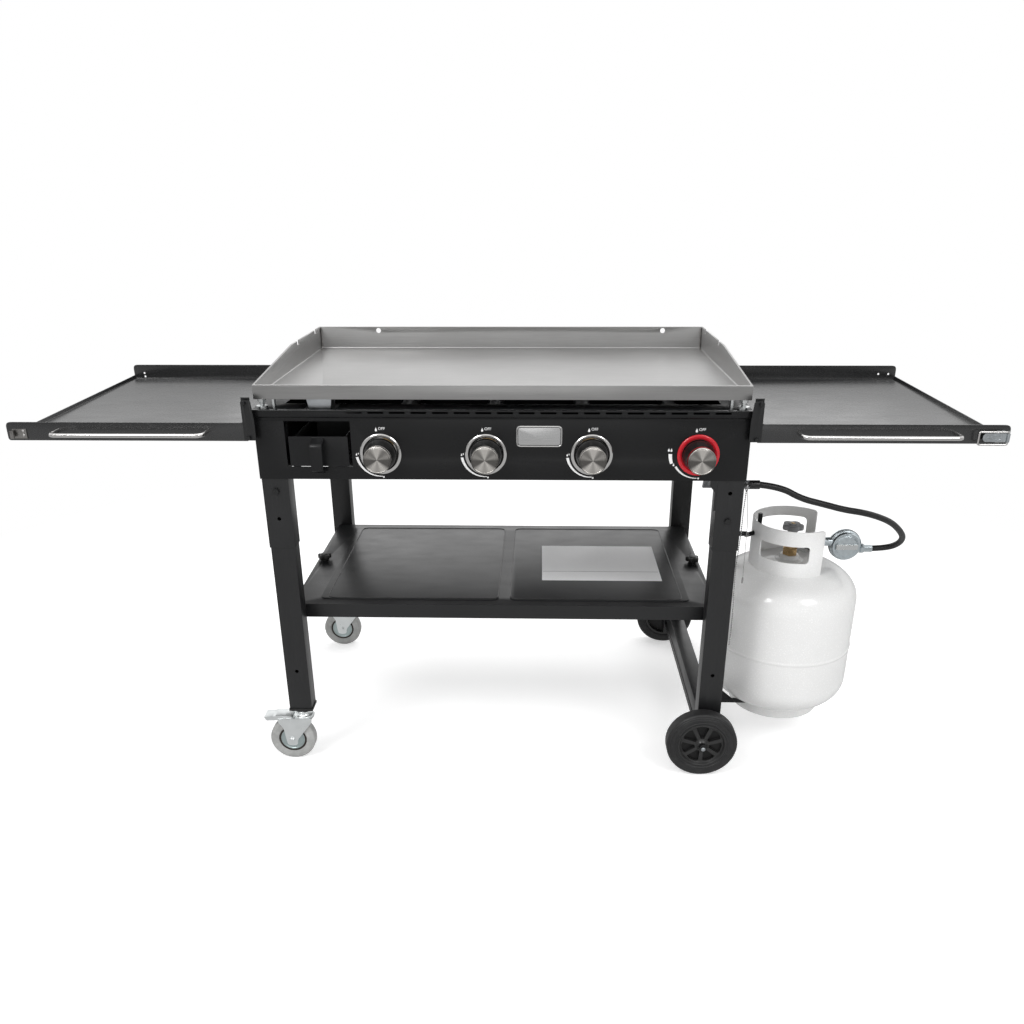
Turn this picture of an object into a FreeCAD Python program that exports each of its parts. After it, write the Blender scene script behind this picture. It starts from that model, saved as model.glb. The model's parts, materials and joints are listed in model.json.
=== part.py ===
"""Outdoor gas griddle station with folding side trays, wheels and a hanging gas tank.

Millimetres. +Z is up, the knobs face -Y, and the origin lies on the floor under the middle.
"""
import FreeCAD, Part
import math
import os
import types

import Sketcher

Vector = FreeCAD.Vector
Rotation = FreeCAD.Rotation

os.makedirs("parts", exist_ok=True)
doc = FreeCAD.newDocument("GriddleStation")

DIMENSIONS = {
    "sheet": 1.6,
    "rest_gap": 0.3,
    "running_gap": 0.1,
    "body_width": 948,
    "frame_depth": 574,
    "body_bottom": 672,
    "body_height": 128,
    "leg_side_inset": 2.3,
    "leg_width": 52,
    "leg_depth": 38,
    "leg_wall": 1.5,
    "leg_slip": 0.2,
    "sleeve_drop": 156,
    "sleeve_top_inset": 24,
    "leg_overlap": 28,
    "axle_above_leg": 26,
    "leg_bolt_radius": 4,
    "leg_bolt_head_radius": 6.5,
    "upper_bolt_drop": 36,
    "lower_bolt_drop": 94,
    "spare_hole_height": 227.5,
    "gusset_reach": 14,
    "gusset_height": 24,
    "gusset_strip": 4,
    "gusset_drop": 72,
    "gusset_width": 10,
    "plate_side_inset": 4,
    "plate_front_inset": 2,
    "plate_rear_inset": 12,
    "plate_lift": 19,
    "plate_floor": 4.5,
    "plate_wall": 4,
    "front_wall_height": 27,
    "rear_wall_height": 56,
    "wall_rise_depth": 290,
    "wall_notch_width": 22,
    "wall_notch_drop": 9,
    "first_notch_depth": 343,
    "second_notch_depth": 506,
    "left_hole_side": 147,
    "right_hole_side": 98,
    "rear_hole_radius": 6,
    "rear_hole_inset": 9,
    "outlet_side": 128,
    "outlet_inset": 24,
    "outlet_radius": 13,
    "chute_width": 48,
    "chute_depth": 42,
    "chute_end_width": 36,
    "chute_end_depth": 32,
    "chute_clearance": 36,
    "chute_wall": 1.2,
    "foot_side_inset": 15,
    "foot_inset": 17,
    "foot_disc_radius": 11,
    "foot_disc": 4,
    "foot_stud_radius": 5,
    "foot_nut_radius": 8.5,
    "foot_nut": 7,
    "locating_stud_gap": 23,
    "locating_stud_radius": 4,
    "side_flange": 50,
    "rear_flange": 48,
    "inner_wall_setback": 49,
    "panel_drop": 9.5,
    "panel_face_inset": 22,
    "panel_proud": 2,
    "rail_height": 13,
    "rail_proud": 4.6,
    "panel_return": 15,
    "slot_count": 18,
    "slot_margin": 10,
    "slot_end_margin": 56,
    "slot_width": 30,
    "slot_height": 4,
    "slot_inset": 5,
    "window_side": 58,
    "window_width": 127,
    "window_rise": 15.5,
    "rear_slot_count": 7,
    "rear_slot_pitch": 110,
    "rear_slot_width": 60,
    "rear_slot_height": 8,
    "rear_slot_rise": 88,
    "knob_count": 4,
    "first_knob_side": 241,
    "last_knob_side": 96.5,
    "knob_rise": 42,
    "bezel_radius": 40.5,
    "bezel_thickness": 3.4,
    "bezel_bevel": 3,
    "stem_hole_radius": 12,
    "stem_radius": 4,
    "stem_travel": 4,
    "knob_lift": 5,
    "knob_base_radius": 31,
    "knob_waist_radius": 25,
    "knob_skirt": 25,
    "knob_cap_radius": 26.5,
    "knob_cap": 12,
    "knob_cap_bevel": 2,
    "valve_radius": 11,
    "valve_setback": 13,
    "valve_length": 30,
    "valve_nose_radius": 4,
    "manifold_radius": 10,
    "manifold_drop": 26,
    "manifold_setback": 31,
    "manifold_left_end": 29,
    "manifold_right_end": 18.5,
    "inlet_radius": 7,
    "inlet_turn": 14,
    "inlet_drop": 38,
    "inlet_setback": 64,
    "inlet_reach": 17.3,
    "fitting_radius": 9,
    "fitting_length": 14,
    "ferrule_length": 21,
    "burner_radius": 19,
    "burner_wall": 1.6,
    "burner_mouth_radius": 17,
    "burner_throat_radius": 12.5,
    "burner_throat_reach": 30,
    "burner_cone_reach": 70,
    "burner_rear_inset": 51,
    "burner_foot_inset": 36,
    "burner_foot_width": 16,
    "drawer_side_gap": 6,
    "drawer_rise": 17,
    "drawer_height": 59,
    "drawer_depth": 192,
    "drawer_margin": 7,
    "drawer_wall": 1.2,
    "strap_width": 23,
    "strap_reach": 25,
    "strap_thickness": 2.2,
    "strap_bend": 9,
    "strap_drop": 12,
    "strap_return_gap": 5,
    "runner_ledge": 12,
    "runner_rise": 14,
    "bay_margin": 14,
    "bay_rise": 94,
    "pivot_offset": 11,
    "pivot_rise": 15.5,
    "pivot_bolt_radius": 2.5,
    "pivot_head_radius": 4,
    "bolt_head": 4,
    "stop_bolt_drop": 67.5,
    "stop_bolt_offset": 3.5,
    "stop_head_radius": 4,
    "stop_spacer_radius": 3,
    "tray_side_gap": 12,
    "tray_sheet": 2,
    "tray_length": 475,
    "tray_drop": 74.5,
    "tray_flange": 36,
    "tray_lip": 10,
    "tray_corner": 20,
    "ear_radius": 5,
    "ear_foot_rise": 15,
    "ear_fillet": 5,
    "strap_inner_reach": 17,
    "strap_outer_reach": 5.5,
    "strap_foot": 5,
    "strap_corner": 5,
    "strap_taper": 4,
    "strap_sheet": 2.5,
    "strap_gap": 0.5,
    "bracket_foot_reach": -1.2,
    "bracket_head_reach": 5.5,
    "bracket_neck_drop": 25,
    "bracket_length": 46,
    "bracket_head": 9.5,
    "handle_radius": 4.75,
    "handle_start": 75,
    "handle_length": 290,
    "handle_rise": 22,
    "handle_standoff": 38.25,
    "handle_bend": 12,
    "latch_inset": 14.5,
    "latch_length": 47.5,
    "latch_rise": 6,
    "latch_height": 16,
    "latch_pin_standoff": 4.5,
    "latch_pin_radius": 1.8,
    "latch_barrel_radius": 2.7,
    "latch_base_reach": 20,
    "latch_base_end": 5,
    "latch_lever_sheet": 1.7,
    "latch_knuckle": 2.7,
    "latch_base_sheet": 1.5,
    "bail_radius": 1.75,
    "bail_offset": 2,
    "bail_standoff": 10.3,
    "bail_length": 54,
    "bail_barrel_wall": 1.2,
    "bail_end_gap": 1,
    "bail_drop": 5,
    "bail_rise": 3,
    "catch_inset": 20.5,
    "catch_length": 27,
    "catch_rise": 4,
    "catch_height": 19,
    "catch_reach": 10,
    "catch_web": 2.5,
    "catch_hook": 7,
    "catch_sheet": 2,
    "rail_width": 24,
    "shelf_rail_inset": 22.7,
    "shelf_rail_drop": 25,
    "shelf_top": 368,
    "shelf_sheet": 1.2,
    "shelf_side_inset": 19.1,
    "shelf_end_inset": 46,
    "shelf_skirt": 31,
    "shelf_rib_margin": 26,
    "shelf_rib_gap": 24,
    "shelf_rib_height": 2,
    "shelf_rib_corner": 14,
    "clamp_radius": 16,
    "clamp_height": 15,
    "clamp_lobes": 5,
    "clamp_stud_radius": 4,
    "clamp_collar": 4,
    "wheel_rail_width": 36,
    "wheel_rail_height": 38,
    "wheel_rail_above_axle": 8,
    "tube_wall": 1.5,
    "wheel_radius": 76,
    "wheel_width": 35,
    "wheel_inset": 42.7,
    "wheel_gap": 4,
    "axle_radius": 5,
    "axle_spacer": 3,
    "axle_rear_reach": 55,
    "axle_front_reach": 50,
    "axle_nut_radius": 9,
    "axle_nut": 8,
    "tyre_inner_radius": 52,
    "tyre_shoulder": 15,
    "tyre_edge": 6,
    "tyre_rim_inset": 3,
    "hub_boss_radius": 14,
    "hub_dish": 4,
    "hub_rim": 4.5,
    "hub_windows": 7,
    "hub_window_margin": 4,
    "caster_radius": 50,
    "caster_width": 24,
    "caster_trail": 28,
    "caster_boss_radius": 13,
    "caster_tread": 9,
    "caster_edge": 3,
    "fork_headroom": 7,
    "fork_reach": 20,
    "fork_skirt": 15,
    "fork_taper": 6,
    "fork_foot": 11,
    "fork_foot_drop": 12,
    "fork_sheet": 2.2,
    "fork_bridge": 3.3,
    "fork_side_gap": 1.3,
    "stem_pin_radius": 6,
    "stem_nut_height": 4,
    "cap_thickness": 6,
    "cap_plug": 16,
    "swivel_radius": 21,
    "swivel_height": 9.7,
    "upper_race_radius": 17,
    "upper_race": 7,
    "pedal_reach": 86,
    "pedal_width": 24,
    "pedal_lift": 3,
    "pedal_sheet": 3,
    "pedal_corner": 6,
    "pedal_gap": 3,
    "pedal_pivot_x": 50,
    "pedal_pivot_drop": 4,
    "pedal_pin_radius": 2.5,
    "pedal_barrel_wall": 1.7,
    "tank_reach": 164.3,
    "tank_y": -88,
    "tank_foot_bottom": 60,
    "tank_height": 452,
    "tank_radius": 155,
    "tank_side_rise": 97,
    "tank_side_height": 143,
    "tank_dome": 77.5,
    "foot_ring_radius": 102,
    "foot_ring_wall": 2.5,
    "foot_ring_roll": 4,
    "collar_radius": 95,
    "collar_wall": 2.5,
    "collar_seat": 14.9,
    "collar_window_drop": 60,
    "collar_band": 25,
    "valve_body_radius": 13,
    "valve_body_drop": 34,
    "bonnet_height": 22,
    "outlet_drop": 53,
    "outlet_tube_radius": 11,
    "outlet_end": 50,
    "spindle_radius": 4,
    "handwheel_radius": 19,
    "handwheel_drop": 20,
    "handwheel_height": 12,
    "handwheel_lobes": 6,
    "nut_start": 31,
    "nut_length": 36,
    "nut_radius": 17,
    "nut_sides": 12,
    "nipple_radius": 7,
    "regulator_offset": 119,
    "regulator_drop": 7,
    "regulator_radius": 34.5,
    "regulator_half_depth": 15,
    "regulator_bevel": 8,
    "regulator_outlet_drop": 9,
    "regulator_end": 179,
    "hose_radius": 6.5,
    "hook_rod_radius": 5,
    "hook_plate_height": 40,
    "hook_plate_sheet": 3,
    "hook_plate_rise": 10,
    "hook_tip_rise": 12,
    "hook_root_run": 18,
    "hook_slope_reach": 29,
    "hook_slope_depth": 22,
    "hook_tip_offset": 2,
    "hook_bend": 10,
    "steady_offset": 72,
    "steady_sheet": 5,
    "steady_rise": 25,
    "steady_height": 33,
    "steady_bar": 10,
    "steady_slope_start": 33,
    "steady_slope_end": 60,
    "chain_reach": 8.3,
    "chain_inset": 15,
    "chain_drop": 22,
    "chain_length": 408,
    "chain_links": 150,
    "chain_radius": 1.8,
    "chain_wire": 1.2,
    "chain_grip": 12,
    "chain_ring_radius": 8,
    "chain_hook_radius": 2.5,
}

# Sizes that follow from the ones above, as formulas of the sheet
DERIVED = {
    "body_half": "body_width / 2",
    "frame_half": "frame_depth / 2",
    "body_top": "body_bottom + body_height",
    "leg_outer_x": "body_half - leg_side_inset",
    "sleeve_bottom": "body_bottom - sleeve_drop",
    "sleeve_top": "body_top - sleeve_top_inset",
    "lower_leg_top": "body_bottom + leg_overlap",
    "right_leg_bottom": "wheel_radius - axle_above_leg",
    "upper_bolt_height": "body_bottom - upper_bolt_drop",
    "lower_bolt_height": "body_bottom - lower_bolt_drop",
    "gusset_bottom": "body_bottom - gusset_drop",
    "plate_width": "body_width - 2 * plate_side_inset",
    "plate_depth": "frame_depth - plate_front_inset - plate_rear_inset",
    "plate_underside": "body_top + plate_lift",
    "front_wall_top": "plate_underside + front_wall_height",
    "rear_wall_top": "plate_underside + rear_wall_height",
    "rear_hole_left": "left_hole_side - plate_width / 2",
    "rear_hole_right": "plate_width / 2 - right_hole_side",
    "rear_hole_height": "rear_wall_top - rear_hole_inset",
    "outlet_x": "outlet_side - body_half",
    "foot_x": "body_half - foot_side_inset",
    "locating_stud_x": "foot_x - locating_stud_gap",
    "panel_bottom": "body_bottom - panel_drop",
    "panel_face_top": "body_top - panel_face_inset",
    "rail_bottom": "body_top - rail_height",
    "window_left": "window_side - body_half",
    "window_right": "window_left + window_width",
    "window_bottom": "body_bottom + window_rise",
    "slot_first_x": "window_right + slot_margin",
    "slot_last_x": "body_half - slot_end_margin",
    "slot_pitch": "(slot_last_x - slot_first_x) / (slot_count - 1)",
    "slot_middle": "body_top - slot_inset",
    "rear_slot_middle": "body_bottom + rear_slot_rise",
    "knob_first_x": "first_knob_side - body_half",
    "knob_last_x": "body_half - last_knob_side",
    "knob_pitch": "(knob_last_x - knob_first_x) / (knob_count - 1)",
    "knob_height": "body_bottom + knob_rise",
    "manifold_left": "knob_first_x - manifold_left_end",
    "manifold_right": "knob_last_x + manifold_right_end",
    "inlet_turn_x": "manifold_right + inlet_turn",
    "inlet_end_x": "leg_outer_x + inlet_reach",
    "inlet_height": "body_bottom - inlet_drop",
    "burner_rear": "frame_half - burner_rear_inset",
    "burner_foot_y": "burner_rear - burner_foot_inset",
    "drawer_left": "window_left + drawer_side_gap",
    "drawer_right": "window_right - drawer_side_gap",
    "drawer_bottom": "body_bottom + drawer_rise",
    "drawer_top": "drawer_bottom + drawer_height",
    "chute_bottom": "drawer_top + chute_clearance",
    "bay_top": "body_bottom + bay_rise",
    "pivot_x": "body_half + pivot_offset",
    "pivot_height": "body_top + pivot_rise",
    "stop_bolt_x": "pivot_x - stop_bolt_offset",
    "stop_bolt_height": "pivot_height - stop_bolt_drop",
    "strap_left": "pivot_x - strap_inner_reach",
    "strap_right": "pivot_x + strap_outer_reach",
    "strap_bottom": "stop_bolt_height - strap_foot",
    "bracket_foot_x": "pivot_x + bracket_foot_reach",
    "bracket_head_x": "pivot_x + bracket_head_reach",
    "bracket_neck_height": "pivot_height - bracket_neck_drop",
    "bracket_top": "pivot_height + bracket_head",
    "tray_half_depth": "frame_half + tray_side_gap",
    "tray_end_x": "pivot_x + tray_length",
    "tray_bottom": "pivot_height - tray_drop",
    "ear_foot_height": "tray_bottom + ear_foot_rise",
    "handle_inner_x": "pivot_x + handle_start",
    "handle_outer_x": "handle_inner_x + handle_length",
    "handle_height": "tray_bottom + handle_rise",
    "latch_pin_x": "tray_end_x - latch_inset",
    "latch_tip_x": "latch_pin_x - latch_length",
    "latch_bottom": "tray_bottom + latch_rise",
    "latch_top": "latch_bottom + latch_height",
    "bail_x": "latch_pin_x - bail_offset",
    "bail_bottom": "latch_bottom - bail_drop",
    "bail_top": "latch_top + bail_rise",
    "catch_right": "tray_end_x - catch_inset",
    "catch_left": "catch_right - catch_length",
    "catch_bottom": "tray_bottom + catch_rise",
    "catch_top": "catch_bottom + catch_height",
    "shelf_rail_bottom": "shelf_top - shelf_rail_drop",
    "shelf_half_width": "leg_outer_x - shelf_side_inset",
    "shelf_half_depth": "frame_half - shelf_end_inset",
    "clamp_x": "leg_outer_x - shelf_rail_inset - rail_width / 2",
    "wheel_x": "leg_outer_x - wheel_inset",
    "wheel_rail_bottom": "wheel_radius + wheel_rail_above_axle",
    "axle_half_length": "frame_half + axle_rear_reach",
    "axle_front_end": "frame_half + axle_front_reach",
    "swivel_bottom": "caster_radius * 2 + fork_headroom",
    "upper_race_bottom": "swivel_bottom + swivel_height + rest_gap",
    "upper_race_top": "upper_race_bottom + upper_race",
    "left_leg_bottom": "upper_race_top + stem_nut_height + cap_thickness",
    "pedal_height": "swivel_bottom + pedal_lift",
    "pedal_pivot_height": "swivel_bottom - pedal_pivot_drop",
    "tank_x": "leg_outer_x + tank_reach",
    "tank_top": "tank_foot_bottom + tank_height",
    "tank_side_bottom": "tank_foot_bottom + tank_side_rise",
    "tank_side_top": "tank_side_bottom + tank_side_height",
    "collar_bottom": "tank_side_top + tank_dome - collar_seat",
    "collar_window_bottom": "tank_top - collar_window_drop",
    "collar_window_top": "tank_top - collar_band",
    "valve_body_top": "tank_top - valve_body_drop",
    "outlet_height": "tank_top - outlet_drop",
    "handwheel_bottom": "tank_top - handwheel_drop",
    "regulator_height": "outlet_height - regulator_drop",
    "regulator_outlet_height": "regulator_height - regulator_outlet_drop",
    "hook_plate_bottom": "tank_top + hook_plate_rise",
    "hook_tip_height": "tank_top + hook_tip_rise",
    "steady_y": "tank_y - steady_offset",
    "steady_bottom": "tank_foot_bottom + steady_rise",
    "steady_top": "steady_bottom + steady_height",
    "chain_x": "leg_outer_x + chain_reach",
    "chain_y": "chain_inset - frame_half",
    "chain_top": "body_bottom - chain_drop",
    "chain_end": "chain_top - chain_length",
}

# Straight facets between crown and side of a tank end
DOME_STEPS = 5

# Collar openings, in degrees counter-clockwise from +X
COLLAR_MOUTH = (-80, 50)
COLLAR_WINDOWS = ((168, 272), (62, 150))

# Free hose, as steps from the end of the inlet ferrule to the regulator along its real course
HOSE_ROUTE = [
    (0, 0, 0),
    (43, 1, -5),
    (87, -1, -29),
    (134, 0, -41),
    (178, 4, -54),
    (221, 13, -63),
    (260, 25, -77),
    (294, 41, -95),
    (321, 60, -119),
    (342, 84, -144),
    (345, 107, -168),
    (328, 126, -186),
    (298, 135, -191),
]


class Size:
    """A number that remembers the sheet expression it comes from."""

    def __init__(self, number, text):
        self.number = float(number)
        self.text = text

    def __add__(self, other):
        return Size(self.number + number(other), f"({self.text} + {text(other)})")

    def __radd__(self, other):
        return Size(number(other) + self.number, f"({text(other)} + {self.text})")

    def __sub__(self, other):
        return Size(self.number - number(other), f"({self.text} - {text(other)})")

    def __rsub__(self, other):
        return Size(number(other) - self.number, f"({text(other)} - {self.text})")

    def __mul__(self, other):
        return Size(self.number * number(other), f"({self.text} * {text(other)})")

    __rmul__ = __mul__

    def __truediv__(self, other):
        return Size(self.number / number(other), f"({self.text} / {text(other)})")

    def __neg__(self):
        return Size(-self.number, f"(0 - {self.text})")


def number(size):
    return size.number if isinstance(size, Size) else float(size)


def text(size):
    return size.text if isinstance(size, Size) else f"({float(size):.6f})"


def span(first, second):
    """Two ends of an interval, the lower one first."""
    return (first, second) if number(first) <= number(second) else (second, first)


def make_sheet():
    """Spreadsheet with every driving dimension and formula; returns them as sizes."""
    sheet = doc.addObject("Spreadsheet::Sheet", "Sizes")
    sizes = types.SimpleNamespace()
    cells = {name: str(value) for name, value in DIMENSIONS.items()}
    cells.update((name, "=" + formula) for name, formula in DERIVED.items())
    for row, name in enumerate(cells, start=1):
        sheet.set(f"A{row}", name)
        sheet.setAlias(f"B{row}", name)
    for row, content in enumerate(cells.values(), start=1):
        sheet.set(f"B{row}", content)
    doc.recompute()
    for row, name in enumerate(cells, start=1):
        setattr(sizes, name, Size(sheet.get(f"B{row}"), f"Sizes.{name}"))
    return sizes


s = make_sheet()
pieces = []
MITRE = 1


def keep(item):
    """Mark an object as one sub-part that gets its own file."""
    pieces.append(item)
    return item


def place(item, x, y, z):
    for letter, size in zip("xyz", (x, y, z)):
        item.setExpression(f"Placement.Base.{letter}", text(size))


def bind(item, **sizes):
    for name, size in sizes.items():
        item.setExpression(name, text(size))


def box(name, xs, ys, zs):
    item = doc.addObject("Part::Box", name)
    bind(item, Length=xs[1] - xs[0], Width=ys[1] - ys[0], Height=zs[1] - zs[0])
    place(item, xs[0], ys[0], zs[0])
    return item


TURNS = {
    "X": Rotation(Vector(0, 1, 0), 90),
    "Y": Rotation(Vector(1, 0, 0), -90),
    "Z": Rotation(),
}


def along(axis, across, height):
    """Point with the given height on one axis and two coordinates across it."""
    first, second = across
    return {"X": (height, first, second), "Y": (first, height, second),
            "Z": (first, second, height)}[axis]


def rod(name, axis, across, radius, ends):
    item = doc.addObject("Part::Cylinder", name)
    item.Placement.Rotation = TURNS[axis]
    bind(item, Radius=radius, Height=ends[1] - ends[0])
    place(item, *along(axis, across, ends[0]))
    return item


def cone(name, axis, across, radii, ends):
    item = doc.addObject("Part::Cone", name)
    item.Placement.Rotation = TURNS[axis]
    bind(item, Radius1=radii[0], Radius2=radii[1], Height=ends[1] - ends[0])
    place(item, *along(axis, across, ends[0]))
    return item


def hexagon(name, axis, across, radius, ends):
    item = doc.addObject("Part::Prism", name)
    item.Polygon = 6
    item.Placement.Rotation = TURNS[axis]
    bind(item, Circumradius=radius, Height=ends[1] - ends[0])
    place(item, *along(axis, across, ends[0]))
    return item


def fuse(name, *items):
    item = doc.addObject("Part::MultiFuse", name)
    item.Shapes = list(items)
    item.Refine = True
    return item


def cut(name, base, *tools):
    item = doc.addObject("Part::Cut", name)
    item.Base = base
    item.Tool = tools[0] if len(tools) == 1 else fuse(name + "_tools", *tools)
    return item


def group(name, *items):
    """Separate solids that share one sub-part."""
    item = doc.addObject("Part::Compound", name)
    item.Links = list(items)
    return item


PLANES = {"X": "YZ_Plane", "Y": "XZ_Plane", "Z": "XY_Plane"}


def corner_arc(before, corner, after, radius):
    """Tangent points, centre and turning sense of the arc that rounds one corner."""
    here = Vector(*corner, 0)
    back = (Vector(*before, 0) - here).normalize()
    ahead = (Vector(*after, 0) - here).normalize()
    half = back.getAngle(ahead) / 2
    reach = radius / math.tan(half)
    centre = here + (back + ahead).normalize() * (radius / math.sin(half))
    left_turn = back.cross(ahead).z < 0
    return here + back * reach, here + ahead * reach, centre, left_turn


def pin(sketch, geometry, position, point):
    """Fix one sketch point to bound coordinates."""
    for kind, size in zip(("DistanceX", "DistanceY"), point):
        index = sketch.addConstraint(
            Sketcher.Constraint(kind, -1, 1, geometry, position, number(size)))
        sketch.setExpression(f"Constraints[{index}]", text(size))


def draw_polygon(sketch, outline):
    """Closed outline of straight lines; a third value at a corner is its radius."""
    corners = [(number(point[0]), number(point[1])) for point in outline]
    radii = [point[2] if len(point) > 2 else None for point in outline]
    count = len(outline)
    arcs = []
    for index, radius in enumerate(radii):
        if radius is None:
            here = Vector(*corners[index], 0)
            arcs.append((here, here, None, True))
        else:
            arcs.append(corner_arc(corners[index - 1], corners[index],
                                   corners[(index + 1) % count], number(radius)))
    lines = []
    for index in range(count):
        start = arcs[index][1]
        end = arcs[(index + 1) % count][0]
        lines.append(sketch.addGeometry(Part.LineSegment(start, end), False))
    for index, radius in enumerate(radii):
        before = lines[index - 1]
        after = lines[index]
        if radius is None:
            sketch.addConstraint(Sketcher.Constraint("Coincident", before, 2, after, 1))
            pin(sketch, after, 1, outline[index])
            continue
        start, end, centre, left_turn = arcs[index]
        first, last = (start, end) if left_turn else (end, start)
        angles = [math.atan2(point.y - centre.y, point.x - centre.x) for point in (first, last)]
        circle = Part.Circle(centre, Vector(0, 0, 1), number(radius))
        arc = sketch.addGeometry(Part.ArcOfCircle(circle, angles[0], angles[1]), False)
        entry, leave = (1, 2) if left_turn else (2, 1)
        sketch.addConstraint(Sketcher.Constraint("Tangent", before, 2, arc, entry))
        sketch.addConstraint(Sketcher.Constraint("Tangent", arc, leave, after, 1))
        bend = sketch.addConstraint(Sketcher.Constraint("Radius", arc, number(radius)))
        sketch.setExpression(f"Constraints[{bend}]", text(radius))
        mark = sketch.addGeometry(Part.Point(Vector(*corners[index], 0)), True)
        pin(sketch, mark, 1, outline[index])
        sketch.addConstraint(Sketcher.Constraint("PointOnObject", mark, 1, before))
        sketch.addConstraint(Sketcher.Constraint("PointOnObject", mark, 1, after))


def draw_circle(sketch, across, radius):
    centre = Vector(number(across[0]), number(across[1]), 0)
    circle = sketch.addGeometry(Part.Circle(centre, Vector(0, 0, 1), number(radius)), False)
    pin(sketch, circle, 3, across)
    index = sketch.addConstraint(Sketcher.Constraint("Radius", circle, number(radius)))
    sketch.setExpression(f"Constraints[{index}]", text(radius))


def add_sketch(body, name, axis, outlines, height):
    """Sketch across one axis at a height; an outline is a polygon or ("circle", across, radius)."""
    sketch = body.newObject("Sketcher::SketchObject", name)
    plane = [item for item in body.Origin.OriginFeatures if item.Role == PLANES[axis]][0]
    sketch.AttachmentSupport = (plane, [""])
    sketch.MapMode = "FlatFace"
    sketch.setExpression("AttachmentOffset.Base.z", text(-height if axis == "Y" else height))
    for outline in outlines:
        if outline[0] == "circle":
            draw_circle(sketch, outline[1], outline[2])
        else:
            draw_polygon(sketch, outline)
    return sketch


def prism(name, axis, outlines, ends):
    """Body padded along one axis from an outline and its holes."""
    body = doc.addObject("PartDesign::Body", name)
    sketch = add_sketch(body, name + "_outline", axis, outlines, ends[0])
    pad = body.newObject("PartDesign::Pad", name + "_pad")
    pad.Profile = sketch
    pad.Reversed = axis == "Y"
    bind(pad, Length=ends[1] - ends[0])
    body.Tip = pad
    return body


def pocket(body, name, axis, outlines, ends):
    """Cut outlines into a body between two heights and check that material goes."""
    doc.recompute()
    before = body.Shape.Volume
    sketch = add_sketch(body, name + "_outline", axis, outlines, ends[0])
    hollow = body.newObject("PartDesign::Pocket", name)
    hollow.Profile = sketch
    hollow.Reversed = axis != "Y"
    bind(hollow, Length=ends[1] - ends[0])
    body.Tip = hollow
    doc.recompute()
    if body.Shape.Volume >= before:
        raise RuntimeError(name + " removes nothing")
    return hollow


def revolve(name, axis, outline, centre=(0, 0, 0)):
    """Body turned about one axis; outline points are (radius, height along the axis)."""
    body = doc.addObject("PartDesign::Body", name)
    if axis == "X":
        outline = [(point[1], point[0], *point[2:]) for point in outline]
    sketch = add_sketch(body, name + "_profile", "Y" if axis == "Z" else "Z", [outline], 0)
    turned = body.newObject("PartDesign::Revolution", name + "_turned")
    turned.Profile = sketch
    turned.ReferenceAxis = (sketch, ["H_Axis" if axis == "X" else "V_Axis"])
    turned.Angle = 360
    body.Tip = turned
    place(body, *centre)
    return body


def rectangle(firsts, seconds, radius=None):
    """Outline of a rectangle, its corners rounded when a radius is given."""
    corners = [(firsts[0], seconds[0]), (firsts[1], seconds[0]),
               (firsts[1], seconds[1]), (firsts[0], seconds[1])]
    return corners if radius is None else [(*corner, radius) for corner in corners]


def route_wire(points, bends):
    """Straight runs joined by tangent arcs."""
    points = [Vector(*(number(value) for value in point)) for point in points]
    edges = []
    last = points[0]
    for before, here, after, bend in zip(points, points[1:], points[2:], bends):
        back = (before - here).normalize()
        ahead = (after - here).normalize()
        half = back.getAngle(ahead) / 2
        reach = bend / math.tan(half)
        start = here + back * reach
        end = here + ahead * reach
        middle_way = (back + ahead).normalize()
        middle = here + middle_way * (bend / math.sin(half) - bend)
        if (start - last).Length > 1e-6:
            edges.append(Part.LineSegment(last, start).toShape())
        edges.append(Part.Arc(start, middle, end).toShape())
        last = end
    edges.append(Part.LineSegment(last, points[-1]).toShape())
    return Part.Wire(edges)


def round_bar(points, radius, bends):
    """Round bar swept along a route, as a shape."""
    wire = route_wire(points, bends)
    start = Vector(*(number(value) for value in points[0]))
    heading = Vector(*(number(value) for value in points[1])) - start
    ring = Part.Wire(Part.Circle(start, heading, number(radius)).toShape())
    return wire.makePipeShell([ring], True, False), wire.Length


def bar_feature(name, points, radius, bend):
    item = doc.addObject("Part::Feature", name)
    bends = [number(bend)] * (len(points) - 2)
    item.Shape = round_bar(points, radius, bends)[0]
    return item


def mitred_bar(name, points, radius):
    """Round bar along straight runs that meet at sharp mitred corners."""
    item = doc.addObject("Part::Feature", name)
    places = [Vector(*(number(value) for value in point)) for point in points]
    ring = Part.Wire(Part.Circle(places[0], places[1] - places[0], number(radius)).toShape())
    item.Shape = Part.makePolygon(places).makePipeShell([ring], True, False, MITRE)
    return item


# Places that several pieces share
front = -s.frame_half
rear = s.frame_half
leg_x = s.leg_outer_x - s.leg_width / 2
leg_y = rear - s.leg_depth / 2
lower_leg_inset = s.leg_wall + s.leg_slip
lower_leg_inner_y = leg_y - s.leg_depth / 2 + lower_leg_inset
plate_front = front + s.plate_front_inset
plate_rear = plate_front + s.plate_depth
inner_wall = front + s.inner_wall_setback
panel_back = front
panel_front = front - s.panel_proud
outlet_y = plate_front + s.outlet_inset
knob_places = [s.knob_first_x + s.knob_pitch * index for index in range(DIMENSIONS["knob_count"])]
bezel_front = panel_front - s.bezel_thickness
knob_back = bezel_front - s.knob_lift
knob_seam = knob_back - s.knob_skirt
knob_front = knob_seam - s.knob_cap
valve_front = panel_back + s.valve_setback
manifold_y = panel_back + s.manifold_setback
manifold_z = s.knob_height - s.manifold_drop
flange_face = s.tray_half_depth
flange_back = s.tray_half_depth - s.tray_sheet
tray_inner = s.stop_bolt_x + s.stop_spacer_radius + s.rest_gap
strap_near = flange_face + s.strap_gap
strap_far = strap_near + s.strap_sheet
bracket_far = flange_back - s.rest_gap
bracket_near = bracket_far - s.tray_sheet
bracket_bottom = s.tray_bottom + s.tray_sheet + s.rest_gap
wheel_y = rear + s.wheel_gap + s.wheel_width / 2
wheel_z = s.wheel_radius
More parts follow.
